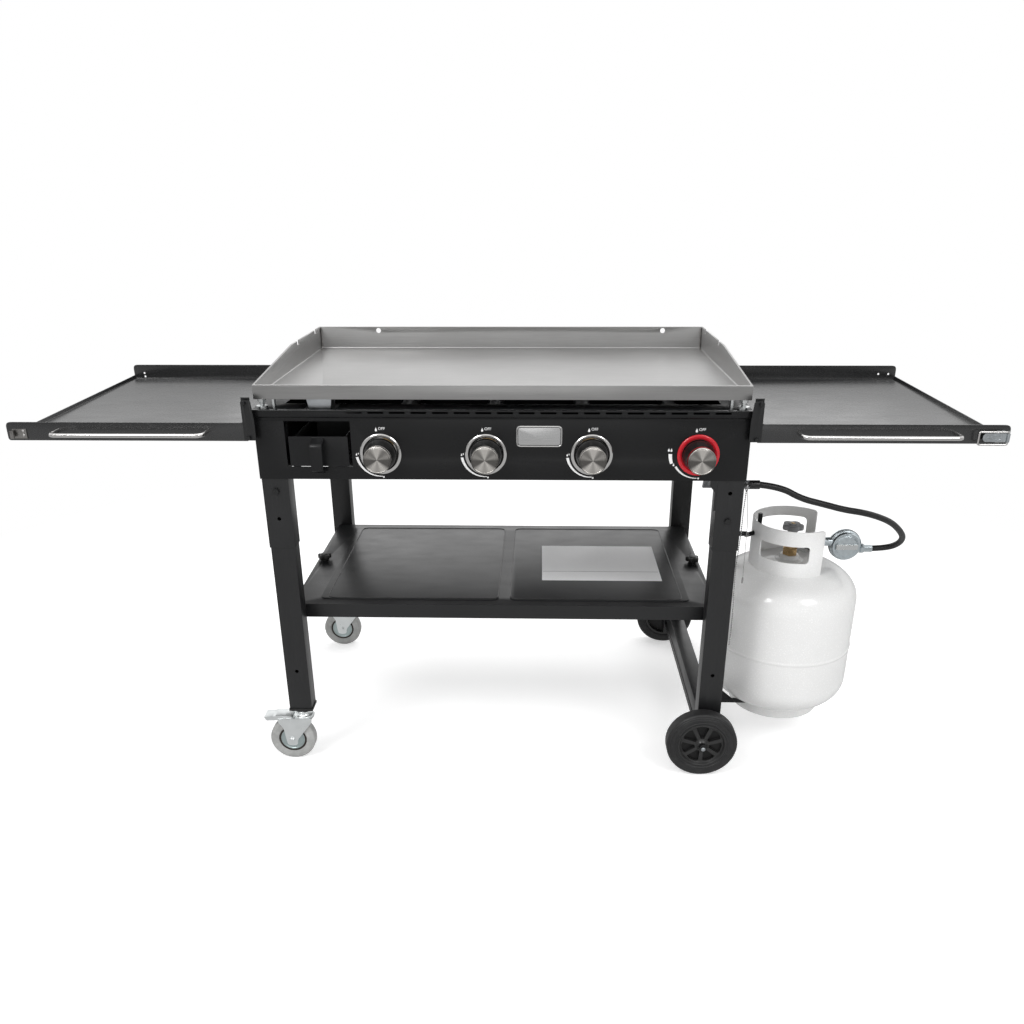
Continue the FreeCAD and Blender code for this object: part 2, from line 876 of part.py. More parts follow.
caster_x = -leg_x
hose_start = s.inlet_end_x + s.fitting_length / 2 + s.ferrule_length
shelf_rail_outer = s.leg_outer_x - s.shelf_rail_inset
shelf_rail_inner = shelf_rail_outer - s.rail_width
shelf_under = s.shelf_top - s.shelf_sheet


def both(function):
    """The same piece on the left and on the right."""
    return [function(side) for side in (-1, 1)]


def griddle_plate():
    half = s.plate_width / 2
    rise = plate_front + s.wall_rise_depth
    outline = [(plate_front, s.plate_underside), (plate_rear, s.plate_underside),
               (plate_rear, s.rear_wall_top), (rise, s.rear_wall_top),
               (plate_front, s.front_wall_top)]
    body = prism("griddle_plate", "X", [outline], (-half, half))
    hollow = rectangle((-half + s.plate_wall, half - s.plate_wall),
                       (plate_front + s.plate_wall, plate_rear - s.plate_wall), s.plate_wall)
    pocket(body, "cooking_hollow", "Z", [hollow],
           (s.plate_underside + s.plate_floor, s.rear_wall_top))
    notches = []
    for depth in (s.first_notch_depth, s.second_notch_depth):
        middle = plate_front + depth
        notches.append(rectangle((middle - s.wall_notch_width / 2, middle + s.wall_notch_width / 2),
                                 (s.rear_wall_top - s.wall_notch_drop, s.rear_wall_top)))
    pocket(body, "side_wall_notches", "X", notches, (-half, half))
    holes = [("circle", (x, s.rear_hole_height), s.rear_hole_radius)
             for x in (s.rear_hole_left, s.rear_hole_right)]
    pocket(body, "rear_wall_holes", "Y", holes, (plate_rear - s.plate_wall, plate_rear))
    pocket(body, "grease_outlet", "Z", [("circle", (s.outlet_x, outlet_y), s.outlet_radius)],
           (s.plate_underside, s.plate_underside + s.plate_floor))
    keep(body)


def frustum(name, middle, low_size, high_size, heights):
    """Four-sided spout form about a vertical line, as a wedge."""
    item = doc.addObject("Part::Wedge", name)
    item.Placement.Rotation = Rotation(Vector(1, 0, 0), 90)
    bind(item, Xmin=-low_size[0] / 2, Xmax=low_size[0] / 2, Zmin=-low_size[1] / 2,
         Zmax=low_size[1] / 2, X2min=-high_size[0] / 2, X2max=high_size[0] / 2,
         Z2min=-high_size[1] / 2, Z2max=high_size[1] / 2, Ymin=0, Ymax=heights[1] - heights[0])
    place(item, middle[0], middle[1], heights[0])
    return item


def grease_chute():
    middle = (s.outlet_x, outlet_y)
    heights = (s.chute_bottom, s.plate_underside)
    wall = s.chute_wall * 2
    outer = frustum("chute_outer", middle, (s.chute_end_width, s.chute_end_depth),
                    (s.chute_width, s.chute_depth), heights)
    inner = frustum("chute_inner", middle, (s.chute_end_width - wall, s.chute_end_depth - wall),
                    (s.chute_width - wall, s.chute_depth - wall), heights)
    keep(cut("grease_chute", outer, inner))


def levelling_feet():
    items = []
    base = s.body_top
    for side in (-1, 1):
        for y in (front + s.foot_inset, plate_rear - s.foot_inset):
            across = (s.foot_x * side, y)
            items.append(fuse(
                f"foot_{side}_{len(items)}",
                rod("foot_disc", "Z", across, s.foot_disc_radius, (base, base + s.foot_disc)),
                hexagon("foot_stud", "Z", across, s.foot_stud_radius, (base, s.plate_underside)),
                hexagon("foot_nut", "Z", across, s.foot_nut_radius,
                        (s.plate_underside - s.foot_nut, s.plate_underside))))
            items.append(hexagon("locating_stud", "Z", (s.locating_stud_x * side, y),
                                 s.locating_stud_radius, (base, s.plate_underside)))
    keep(group("levelling_feet", *items))


def leg_corner(side, end):
    """Centre of one leg; side is -1 left or 1 right, end is -1 front or 1 rear."""
    return leg_x * side, leg_y * end


def leg_column(name, side, end, inset, heights):
    """Upright block of one leg, drawn in by an inset from the faces of its sleeve."""
    x, y = leg_corner(side, end)
    across = s.leg_width / 2 - inset
    along = s.leg_depth / 2 - inset
    return box(name, (x - across, x + across), (y - along, y + along), heights)


def leg_bolt_hole(side, end, height, radius):
    """Bolt hole through the outward wall of one leg."""
    x, y = leg_corner(side, end)
    return rod("leg_bolt_hole", "Y", (x, height), radius, span(y, y + s.leg_depth * end))


def leg_bolt_height(side):
    """Height of the bolt that holds one side's legs; the other hole stays free."""
    return s.upper_bolt_height if side < 0 else s.lower_bolt_height


def spare_bolt_height(side):
    return s.lower_bolt_height if side < 0 else s.upper_bolt_height


def leg_gusset():
    """Small welded bracket on the inner face of the front right sleeve, under the body."""
    face = s.leg_outer_x - s.leg_width
    top = s.panel_bottom
    outline = [(face, s.gusset_bottom), (face, top),
               (face - s.gusset_reach, top),
               (face - s.gusset_reach, top - s.gusset_height / 2),
               (face - s.gusset_strip, top - s.gusset_height),
               (face - s.gusset_strip, s.gusset_bottom)]
    return prism("leg_gusset", "Y", [outline], (front + 1, front + s.gusset_width))


def leg_sleeves():
    sleeves = []
    for side in (-1, 1):
        for end in (-1, 1):
            outer = leg_column("sleeve_outer", side, end, 0,
                               (s.sleeve_bottom, s.sleeve_top))
            inner = leg_column("sleeve_inner", side, end, s.leg_wall,
                               (s.sleeve_bottom, s.sleeve_top - s.leg_wall * 2))
            tools = [inner, leg_bolt_hole(side, end, leg_bolt_height(side), s.leg_bolt_radius)]
            if end < 0:
                tools.append(leg_bolt_hole(side, end, spare_bolt_height(side), s.leg_bolt_radius))
            tube = cut("sleeve_tube", outer, *tools)
            if side > 0 and end < 0:
                tube = fuse("gusset_sleeve", tube, leg_gusset())
            sleeves.append(tube)
    keep(group("leg_sleeves", *sleeves))


def lower_legs():
    legs = []
    for side in (-1, 1):
        bottom = s.left_leg_bottom if side < 0 else s.right_leg_bottom
        for end in (-1, 1):
            outer = leg_column("leg_outer", side, end, lower_leg_inset, (bottom, s.lower_leg_top))
            inner = leg_column("leg_inner", side, end, lower_leg_inset + s.leg_wall,
                               (bottom, s.lower_leg_top))
            tools = [inner, leg_bolt_hole(side, end, leg_bolt_height(side), s.leg_bolt_radius)]
            if end < 0:
                tools += [leg_bolt_hole(side, end, height, s.leg_bolt_radius)
                          for height in (spare_bolt_height(side), s.spare_hole_height)]
            if side > 0:
                y = leg_y * end
                tools.append(rod("axle_hole", "Y", (s.wheel_x, wheel_z),
                                 s.axle_radius + s.running_gap,
                                 (y - s.leg_depth, y + s.leg_depth)))
            legs.append(cut("lower_leg", outer, *tools))
    keep(group("lower_legs", *legs))


def leg_end_caps():
    caps = []
    plug = lower_leg_inset * 2
    for end in (-1, 1):
        left_bottom = s.left_leg_bottom
        left = fuse(
            "left_cap_block",
            leg_column("cap_plate", -1, end, 0, (left_bottom - s.cap_thickness, left_bottom)),
            leg_column("cap_plug", -1, end, plug, (left_bottom, left_bottom + s.cap_plug)))
        bore = rod("cap_bore", "Z", leg_corner(-1, end), s.stem_pin_radius + s.running_gap,
                   (left_bottom - s.cap_thickness * 2, left_bottom + s.cap_plug * 2))
        caps.append(cut("left_leg_cap", left, bore))
        right_bottom = s.right_leg_bottom
        caps.append(leg_column("right_leg_cap", 1, end, plug,
                               (right_bottom, right_bottom + s.cap_thickness)))
    keep(group("leg_end_caps", *caps))


def headed_bolt(name, across, radius, head_radius, ends, outward):
    """Hexagon bolt along Y with its head outside; outward is -1 for the front, 1 for the rear."""
    outer, inner = ends
    shank = rod("shank", "Y", across, radius, span(outer * outward, inner * outward))
    head = hexagon("bolt_head", "Y", across, head_radius,
                   span(outer * outward, (outer + s.bolt_head) * outward))
    return fuse(name, shank, head)


def pivot_bolt(side, end):
    """Round-headed hinge bolt with its nut behind the bracket."""
    across = (s.pivot_x * side, s.pivot_height)
    inner = bracket_near - s.bolt_head
    outer = strap_far + s.bolt_head
    return fuse(
        "pivot_bolt",
        rod("shank", "Y", across, s.pivot_bolt_radius, span(strap_far * end, bracket_near * end)),
        rod("bolt_head", "Y", across, s.pivot_head_radius, span(strap_far * end, outer * end)),
        hexagon("nut", "Y", across, s.pivot_head_radius, span(inner * end, bracket_near * end)))


def assembly_bolts():
    bolts = []
    for side in (-1, 1):
        for end in (-1, 1):
            bolts.append(headed_bolt("leg_bolt", (leg_x * side, leg_bolt_height(side)),
                                     s.leg_bolt_radius - s.running_gap, s.leg_bolt_head_radius,
                                     (rear, rear - s.bolt_head * 2), end))
            bolts.append(pivot_bolt(side, end))
            bolts.append(headed_bolt("stop_bolt", (s.stop_bolt_x * side, s.stop_bolt_height),
                                     s.stop_spacer_radius, s.stop_head_radius,
                                     (strap_far, bracket_far), end))
    across = (s.chain_y, s.chain_top)
    head_start = s.chain_x + s.chain_hook_radius * 2
    hook = fuse("chain_screw",
                rod("chain_pin", "X", across, s.chain_hook_radius, (s.leg_outer_x, head_start)),
                hexagon("chain_head", "X", across, s.chain_hook_radius * 2,
                        (head_start, head_start + s.chain_hook_radius)))
    keep(group("assembly_bolts", *bolts, hook))


def firebox():
    wall = s.sheet
    outer_x = (-s.body_half, s.body_half)
    front_edge = panel_back
    back = rear + wall
    heights = (s.body_bottom, s.body_top)
    parts = [
        box("left_wall", (-s.body_half, -s.body_half + wall), (front_edge, back), heights),
        box("right_wall", (s.body_half - wall, s.body_half), (front_edge, back), heights),
        box("rear_wall", outer_x, (rear, back), heights),
        box("inner_front_wall", outer_x, (inner_wall, inner_wall + wall), heights),
        box("pan", outer_x, (inner_wall, back), (s.body_bottom, s.body_bottom + wall)),
    ]
    ring = box("flange_plate", outer_x, (front_edge + s.panel_return / 5, back),
               (s.body_top - wall, s.body_top))
    mouth = box("flange_mouth", (-s.body_half + s.side_flange, s.body_half - s.side_flange),
                (inner_wall, rear - s.rear_flange), heights)
    parts.append(cut("top_flange", ring, mouth))
    shell = fuse("firebox_shell", *parts)
    tools = [
        box("tray_bay", (s.drawer_left - s.bay_margin, s.drawer_right + s.bay_margin),
            (front_edge, front + s.drawer_depth + s.bay_margin), (s.body_bottom, s.bay_top)),
        box("chute_gap", (s.outlet_x - s.chute_width / 2 - s.bay_margin / 2,
                          s.outlet_x + s.chute_width / 2 + s.bay_margin / 2),
            (front_edge, outlet_y + s.chute_depth / 2 + wall), (s.body_top - wall * 2, s.body_top)),
    ]
    tools.append(box("panel_seat", outer_x, (front_edge, front_edge + s.panel_return / 5),
                     (s.body_top - wall, s.body_top)))
    for side in (-1, 1):
        tools.append(leg_column("rear_leg_gap", side, 1, -s.rest_gap,
                                (s.body_bottom - wall, s.body_bottom + wall * 2)))
    for x in knob_places:
        tools.append(rod("burner_hole", "Y", (x, s.knob_height),
                         s.burner_mouth_radius + s.rest_gap, (inner_wall - wall, inner_wall + wall * 2)))
    count = DIMENSIONS["rear_slot_count"]
    for index in range(count):
        middle = s.rear_slot_pitch * (index - (count - 1) / 2)
        tools.append(box("rear_slot", (middle - s.rear_slot_width / 2, middle + s.rear_slot_width / 2),
                         (rear - wall, back + wall),
                         (s.rear_slot_middle, s.rear_slot_middle + s.rear_slot_height)))
    keep(cut("firebox", shell, *tools))


def control_panel():
    wall = s.sheet
    proud = front - s.rail_proud
    fold = wall * 0.9
    back_edge = front + s.panel_return / 5
    outline = [
        (panel_front, s.panel_bottom), (panel_front, s.panel_face_top),
        (front - wall, s.panel_face_top + wall), (front - wall, s.rail_bottom - fold * 2),
        (proud, s.rail_bottom), (proud, s.body_top, wall), (back_edge, s.body_top),
        (back_edge, s.body_top - wall), (proud + wall, s.body_top - wall),
        (proud + wall, s.rail_bottom + fold), (front, s.rail_bottom - fold),
        (front, s.panel_bottom + wall), (front + s.panel_return, s.panel_bottom + wall),
        (front + s.panel_return, s.panel_bottom),
    ]
    body = prism("control_panel", "X", [outline], (-s.body_half, s.body_half))
    holes = [("circle", (x, s.knob_height), s.stem_hole_radius) for x in knob_places]
    holes.append(rectangle((s.window_left, s.window_right), (s.window_bottom, s.panel_face_top)))
    pocket(body, "face_openings", "Y", holes, (panel_front, panel_back))
    leg_inner = s.leg_outer_x - s.leg_width
    notches = [rectangle(span(leg_inner * side, s.body_half * side), (front, front + s.panel_return))
               for side in (-1, 1)]
    pocket(body, "leg_notches", "Z", notches, (s.panel_bottom, s.panel_bottom + wall))
    slots = []
    for index in range(DIMENSIONS["slot_count"]):
        left = s.slot_first_x + s.slot_pitch * index - s.slot_width / 2
        slots.append(rectangle((left, left + s.slot_width),
                               (s.slot_middle - s.slot_height / 2, s.slot_middle + s.slot_height / 2)))
    pocket(body, "vent_slots", "Y", slots, (proud, proud + wall))
    keep(body)


def burners():
    items = []
    wall = s.burner_wall
    start = inner_wall - wall
    throat_end = start + s.burner_throat_reach
    tube_start = start + s.burner_cone_reach
    for x in knob_places:
        across = (x, s.knob_height)
        mouth = rod("burner_mouth", "Y", across, s.burner_mouth_radius, (start, throat_end))
        hollow = rod("burner_bore", "Y", across, s.burner_mouth_radius - wall,
                     (start, throat_end - wall))
        items.append(cut("burner", fuse(
            "burner_form", mouth,
            rod("burner_throat", "Y", across, s.burner_throat_radius, (throat_end, tube_start)),
            rod("burner_tube", "Y", across, s.burner_radius, (tube_start, s.burner_rear)),
            box("burner_foot", (x - s.burner_foot_width / 2, x + s.burner_foot_width / 2),
                (s.burner_foot_y - wall, s.burner_foot_y + wall),
                (s.body_bottom + s.sheet, s.knob_height - s.burner_radius + wall))), hollow))
    keep(group("burners", *items))


def gas_manifold():
    across = (manifold_y, manifold_z)
    pipe = rod("manifold_pipe", "X", across, s.manifold_radius, (s.manifold_left, s.manifold_right))
    inlet_y = panel_back + s.inlet_setback
    bend = mitred_bar("inlet_pipe", [
        (s.manifold_right - s.inlet_radius, manifold_y, manifold_z),
        (s.inlet_turn_x, manifold_y, manifold_z), (s.inlet_turn_x, inlet_y, s.inlet_height),
        (s.inlet_end_x, inlet_y, s.inlet_height)], s.inlet_radius)
    inlet = (inlet_y, s.inlet_height)
    fitting = hexagon("inlet_fitting", "X", inlet, s.fitting_radius,
                      (s.inlet_end_x - s.fitting_length / 2, s.inlet_end_x + s.fitting_length / 2))
    saddles = []
    for x in (knob_places[0] + s.knob_pitch / 2, knob_places[2] + s.knob_pitch / 2):
        saddles.append(box("manifold_saddle", (x - s.manifold_radius, x + s.manifold_radius),
                           (panel_back, manifold_y + s.manifold_radius / 2),
                           (manifold_z - s.manifold_radius - s.sheet * 2,
                            manifold_z - s.manifold_radius + s.sheet)))
    frame = fuse("manifold_run", pipe, bend, fitting, *saddles)
    ferrule_start = s.inlet_end_x + s.fitting_length / 2
    ferrule = rod("hose_ferrule", "X", inlet, s.fitting_radius,
                  (ferrule_start, hose_start))
    keep(group("gas_manifold", frame, ferrule))


def gas_valves():
    items = []
    back = valve_front + s.valve_length
    half = s.valve_radius / 2
    for x in knob_places:
        across = (x, s.knob_height)
        block = fuse(
            "valve_block",
            hexagon("valve_barrel", "Y", across, s.valve_radius, (valve_front, back)),
            hexagon("valve_orifice", "Y", across, s.valve_nose_radius,
                    (back, inner_wall + s.sheet * 2)),
            box("valve_inlet", (x - half, x + half), (manifold_y - half, manifold_y + half),
                (manifold_z + s.manifold_radius + s.running_gap, s.knob_height)))
        bore = rod("valve_bore", "Y", across, s.stem_radius + s.running_gap,
                   (valve_front, valve_front + s.stem_travel * 3 + s.rest_gap))
        items.append(cut("gas_valve", block, bore))
    keep(group("gas_valves", *items))


def knob_and_stem(index, x):
    across = (x, s.knob_height)
    socket_end = knob_seam + s.knob_skirt / 3
    keep(rod(f"valve_stem_{index}", "Y", across, s.stem_radius,
             (socket_end, valve_front + s.stem_travel * 2)))
    bore = s.stem_radius + s.running_gap
    skirt = [(bore, knob_back), (s.knob_base_radius, knob_back), (s.knob_waist_radius, knob_seam),
             (0, knob_seam), (0, socket_end - s.rest_gap), (bore, socket_end - s.rest_gap)]
    bevel = s.knob_cap_bevel
    cap = [(0, knob_seam), (s.knob_cap_radius, knob_seam), (s.knob_cap_radius, knob_front + bevel),
           (s.knob_cap_radius - bevel, knob_front), (0, knob_front)]
    centre = (x, 0, s.knob_height)
    keep(group(f"knob_{index}", revolve("knob_skirt", "Y", skirt, centre),
               revolve("knob_cap", "Y", cap, centre)))


def knob_bezels():
    items = []
    outline = [(s.stem_hole_radius, panel_front), (s.bezel_radius, panel_front),
               (s.bezel_radius - s.bezel_bevel, bezel_front), (s.stem_hole_radius, bezel_front)]
    for x in knob_places:
        items.append(revolve("bezel", "Y", outline, (x, 0, s.knob_height)))
    keep(group("knob_bezels", *items))


def grease_tray():
    left = s.drawer_left
    right = s.drawer_right
    face = panel_front - 1
    face_back = face + s.sheet
    plate = box("tray_front", (left, right), (face, face_back), (s.drawer_bottom, s.drawer_top))
    cup_x = (left + s.drawer_margin, right - s.drawer_margin)
    cup = box("cup_outer", cup_x, (face_back, front + s.drawer_depth),
              (s.drawer_bottom, s.drawer_top - s.drawer_margin / 2))
    wall = s.drawer_wall
    hollow = box("cup_hollow", (cup_x[0] + wall, cup_x[1] - wall),
                 (face_back + wall, front + s.drawer_depth - wall),
                 (s.drawer_bottom + wall, s.drawer_top))
    middle = (left + right) / 2
    reach = face - s.strap_reach
    low = s.drawer_bottom - s.strap_drop
    end = face - s.strap_return_gap
    thick = s.strap_thickness
    high = s.drawer_top - thick
    bend = s.strap_bend
    inner_bend = bend - thick
    outline = [(face, high), (reach, high - bend, bend), (reach, low + bend, bend), (end, low),
               (end, low + thick), (reach + thick, low + bend + thick / 2, inner_bend),
               (reach + thick, high - bend - thick / 2, inner_bend), (face, high - thick)]
    strap = prism("tray_strap", "X", [outline],
                  (middle - s.strap_width / 2, middle + s.strap_width / 2))
    keep(fuse("grease_tray", plate, cut("tray_cup", cup, hollow), strap))


def grease_tray_runners():
    wall = s.sheet
    items = []
    ledge_top = s.drawer_bottom - s.rest_gap
    back = front + s.drawer_depth + s.bay_margin + s.drawer_margin
    for side, edge in ((-1, s.drawer_left + s.drawer_margin), (1, s.drawer_right - s.drawer_margin)):
        outer = edge + s.rest_gap * side * 2
        ledge_end = edge - s.runner_ledge * side
        pan_top = s.body_bottom + wall
        foot_end = outer + s.bay_margin * 2 * side
        items.append(fuse(
            "runner",
            box("runner_web", span(outer, outer + wall * side), (panel_back, back),
                (pan_top, ledge_top + s.runner_rise)),
            box("runner_ledge", span(ledge_end, outer), (panel_back, back),
                (ledge_top - wall, ledge_top)),
            box("runner_foot", span(outer, foot_end), (inner_wall + wall, back),
                (pan_top, pan_top + wall))))
    keep(group("grease_tray_runners", *items))


def side_tray(side):
    name = "side_tray_left" if side < 0 else "side_tray_right"
    flange_top = s.tray_bottom + s.tray_flange
    ear = s.ear_radius + s.running_gap
    outline = [
        (tray_inner, s.tray_bottom), (s.tray_end_x, s.tray_bottom, s.tray_corner / 4),
        (s.tray_end_x, flange_top, s.tray_corner), (s.pivot_x + ear, flange_top, s.ear_fillet),
        (s.pivot_x + ear, s.pivot_height + ear, s.ear_radius),
        (s.pivot_x - ear, s.pivot_height + ear, s.ear_radius),
        (s.pivot_x - ear, s.ear_foot_height + ear), (tray_inner, s.ear_foot_height)]
    outline = [(point[0] * side, *point[1:]) for point in outline]
    hole = ("circle", (s.pivot_x * side, s.pivot_height), s.pivot_bolt_radius + s.running_gap)
    flanges = [prism("tray_flange", "Y", [outline, hole], span(flange_back * end, flange_face * end))
               for end in (-1, 1)]
    end_x = s.tray_end_x
    floor = prism("tray_floor", "Y", [[
        (tray_inner * side, s.tray_bottom), (end_x * side, s.tray_bottom, s.tray_corner / 4),
        (end_x * side, s.tray_bottom + s.tray_lip),
        ((end_x - s.tray_sheet) * side, s.tray_bottom + s.tray_lip),
        ((end_x - s.tray_sheet) * side, s.tray_bottom + s.tray_sheet),
        (tray_inner * side, s.tray_bottom + s.tray_sheet)]], (-flange_face, flange_face))
    keep(fuse(name, *flanges, floor))


def tray_handle(side):
    name = "tray_handle_left" if side < 0 else "tray_handle_right"
    bar = -flange_face - s.handle_standoff
    points = [(s.handle_inner_x * side, -flange_face, s.handle_height),
              (s.handle_inner_x * side, bar, s.handle_height),
              (s.handle_outer_x * side, bar, s.handle_height),
              (s.handle_outer_x * side, -flange_face, s.handle_height)]
    keep(bar_feature(name, points, s.handle_radius, s.handle_bend))


def hinge_hardware():
    straps = []
    brackets = []
    for side in (-1, 1):
        pivot = ("circle", (s.pivot_x * side, s.pivot_height), s.pivot_bolt_radius + s.running_gap)
        stop = ("circle", (s.stop_bolt_x * side, s.stop_bolt_height),
                s.stop_spacer_radius + s.running_gap)
        top = s.pivot_height + s.ear_radius
        corner = s.strap_corner
        outline = [(s.strap_left * side, s.strap_bottom), (s.strap_right * side, s.strap_bottom),
                   (s.strap_right * side, top, corner),
                   ((s.strap_left + s.strap_taper) * side, top, corner),
                   (s.strap_left * side, (s.strap_bottom + top) / 2)]
        neck = s.bracket_neck_height
        bracket_outline = [
            (s.body_half * side, bracket_bottom), (s.bracket_foot_x * side, bracket_bottom),
            (s.bracket_foot_x * side, neck), (s.bracket_head_x * side, neck + s.bracket_head_reach),
            (s.bracket_head_x * side, s.bracket_top), (s.body_half * side, s.bracket_top)]
        for end in (-1, 1):
            straps.append(prism("hinge_strap", "Y", [outline, pivot, stop],
                                span(strap_near * end, strap_far * end)))
            face = prism("bracket_face", "Y", [bracket_outline, pivot],
                         span(bracket_near * end, bracket_far * end))
            web = box("bracket_web", span(s.body_half * side, (s.body_half + s.tray_sheet) * side),
                      span((bracket_far - s.bracket_length) * end, bracket_far * end),
                      (bracket_bottom + s.tray_sheet * 2, s.body_top))
            brackets.append(fuse("hinge_bracket", face, web))
    keep(group("hinge_straps", *straps))
    keep(group("hinge_brackets", *brackets))


def latch():
    base_front = flange_face + s.latch_base_sheet
    pin_y = -(flange_face + s.latch_pin_standoff)
    pin_at = (s.latch_pin_x, pin_y)
    low = s.latch_bottom - s.rest_gap
    high = s.latch_top + s.rest_gap
    base = box("base_plate", (s.latch_pin_x - s.latch_base_reach, s.latch_pin_x + s.latch_base_end),
               (-base_front, -flange_face), (low - s.latch_knuckle, high + s.latch_knuckle))
    parts = [base, rod("latch_pin", "Z", pin_at, s.latch_pin_radius,
                       (low - s.latch_knuckle, high + s.latch_knuckle))]
    for heights in ((low - s.latch_knuckle, low), (high, high + s.latch_knuckle)):
        parts.append(rod("knuckle", "Z", pin_at, s.latch_barrel_radius, heights))
        parts.append(box("knuckle_root", (s.latch_pin_x - s.latch_barrel_radius,
                                          s.latch_pin_x + s.latch_barrel_radius),
                         (pin_y, -base_front), heights))
    keep(fuse("latch_base", *parts))

    heights = (s.latch_bottom, s.latch_top)
    bail_y = -(flange_face + s.bail_standoff)
    sheet_back = pin_y - s.latch_barrel_radius + s.running_gap * 2
    middle = (s.latch_bottom + s.latch_top) / 2
    half = s.latch_height / 2
    nose = half * 0.9
    tongue = prism("latch_tongue", "Y", [[
        (s.latch_tip_x, middle - half, nose), (s.latch_pin_x, middle - half),
        (s.latch_pin_x, middle + half), (s.latch_tip_x, middle + half, nose)]],
        (sheet_back - s.latch_lever_sheet, sheet_back))
    lever = fuse("lever_blank", tongue,
                 rod("lever_barrel", "Z", pin_at, s.latch_barrel_radius, heights),
                 rod("bail_barrel", "Z", (s.bail_x, bail_y), s.bail_radius + s.bail_barrel_wall,
                     heights))
    keep(cut("latch_lever", lever,
             rod("pin_bore", "Z", pin_at, s.latch_pin_radius + s.running_gap, heights),
             rod("bail_bore", "Z", (s.bail_x, bail_y), s.bail_radius + s.running_gap, heights)))

    tip = s.bail_x - s.bail_length
    wire = [(s.bail_x, bail_y, middle + s.bail_end_gap), (s.bail_x, bail_y, s.bail_top),
            (tip, bail_y, s.bail_top), (tip, bail_y, s.bail_bottom),
            (s.bail_x, bail_y, s.bail_bottom), (s.bail_x, bail_y, middle - s.bail_end_gap)]
    keep(mitred_bar("latch_bail", wire, s.bail_radius))


def latch_catch():
    base_front = flange_face + s.latch_base_sheet
    left = -s.catch_right
    right = -s.catch_left
    heights = (s.catch_bottom, s.catch_top)
    inner = (s.catch_bottom + s.catch_sheet, s.catch_top - s.catch_sheet)
    lip = -(flange_face + s.catch_reach)
    plate = box("catch_plate", (left, right), (-base_front, -flange_face), heights)
    web = box("catch_web", (left, left + s.catch_web), (lip, -base_front), inner)
    hook = box("catch_hook", (left, left + s.catch_hook), (lip - s.catch_sheet, lip), inner)
    keep(fuse("latch_catch", plate, web, hook))


def square_tube(name, xs, ys, zs):
    """Square tube running along Y."""
    wall = s.tube_wall
    outer = box(name + "_outer", xs, ys, zs)
    inner = box(name + "_inner", (xs[0] + wall, xs[1] - wall), ys, (zs[0] + wall, zs[1] - wall))
    return cut(name, outer, inner)


def rails():
    ys = (-lower_leg_inner_y, lower_leg_inner_y)
    items = []
    for side in (-1, 1):
        xs = span(shelf_rail_inner * side, shelf_rail_outer * side)
        tube = square_tube("shelf_tube", xs, ys, (s.shelf_rail_bottom, shelf_under))
        hole = rod("clamp_hole", "Z", (s.clamp_x * side, 0), s.clamp_stud_radius + s.running_gap,
                   (s.shelf_rail_bottom - 1, s.shelf_top))
        items.append(cut("shelf_rail", tube, hole))
    keep(group("shelf_rails", *items))
    x = leg_x
    half = s.wheel_rail_width / 2
    bottom = s.wheel_rail_bottom
    keep(square_tube("wheel_rail", (x - half, x + half), ys, (bottom, bottom + s.wheel_rail_height)))


def bottom_shelf():
    half = s.shelf_half_width
    depth = s.shelf_half_depth
    wall = s.shelf_sheet
    low = s.shelf_top - s.shelf_skirt
    outer = box("shelf_block", (-half, half), (-depth, depth), (low, s.shelf_top))
    inner = box("shelf_hollow", (-half + wall, half - wall), (-depth + wall, depth - wall),
                (low, shelf_under))
    tray = cut("shelf_pan", outer, inner)
    ribs = []
    middle = s.shelf_rib_gap / 2
    end_x = shelf_rail_inner - s.shelf_rib_margin
    end_y = depth - s.shelf_rib_margin
    for side in (-1, 1):
        outline = rectangle(span(middle * side, end_x * side), (-end_y, end_y), s.shelf_rib_corner)
        ribs.append(prism("raised_panel", "Z", [outline],
                          (shelf_under, s.shelf_top + s.shelf_rib_height)))
    tools = []
    gap = s.rest_gap
    for side in (-1, 1):
        tools.append(rod("clamp_hole", "Z", (s.clamp_x * side, 0),
                         s.clamp_stud_radius + s.running_gap, (shelf_under, s.shelf_top)))
        for end in (-1, 1):
            tools.append(box("rail_gap", span((shelf_rail_inner - gap) * side,
                                              (shelf_rail_outer + gap) * side),
                             span((depth - wall) * end, depth * end),
                             (low, shelf_under)))
        outline = rectangle(span((middle + wall) * side, (end_x - wall) * side),
                            (-end_y + wall, end_y - wall), s.shelf_rib_corner - wall)
        tools.append(prism("panel_back", "Z", [outline],
                           (shelf_under, shelf_under + s.shelf_rib_height)))
    keep(cut("bottom_shelf", fuse("shelf_form", tray, *ribs), *tools))


def lobed_disc(name, across, radius, heights, lobes, notch):
    """Round grip with scallops between its lobes."""
    disc = rod(name + "_disc", "Z", across, radius, heights)
    scallops = []
    for index in range(lobes):
        turn = 2 * math.pi * (index + 0.5) / lobes
        centre = (across[0] + radius * 1.12 * math.cos(turn), across[1] + radius * 1.12 * math.sin(turn))
        scallops.append(rod(name + "_scallop", "Z", centre, notch, (heights[0] - 1, heights[1] + 1)))
    return cut(name + "_grip", disc, *scallops)


def clamp_knob(side):
    name = "clamp_knob_left" if side < 0 else "clamp_knob_right"
    across = (s.clamp_x * side, 0)
    low = s.shelf_top + s.rest_gap
    collar_top = low + s.clamp_collar
    grip = lobed_disc(name, across, s.clamp_radius, (collar_top, low + s.clamp_height),
                      DIMENSIONS["clamp_lobes"], s.clamp_radius * 0.36)
    collar = rod("clamp_collar", "Z", across, s.clamp_radius * 0.55, (low, collar_top))
    stud = rod("clamp_stud", "Z", across, s.clamp_stud_radius,
               (s.shelf_rail_bottom - s.clamp_collar, low))
    keep(fuse(name, grip, collar, stud))


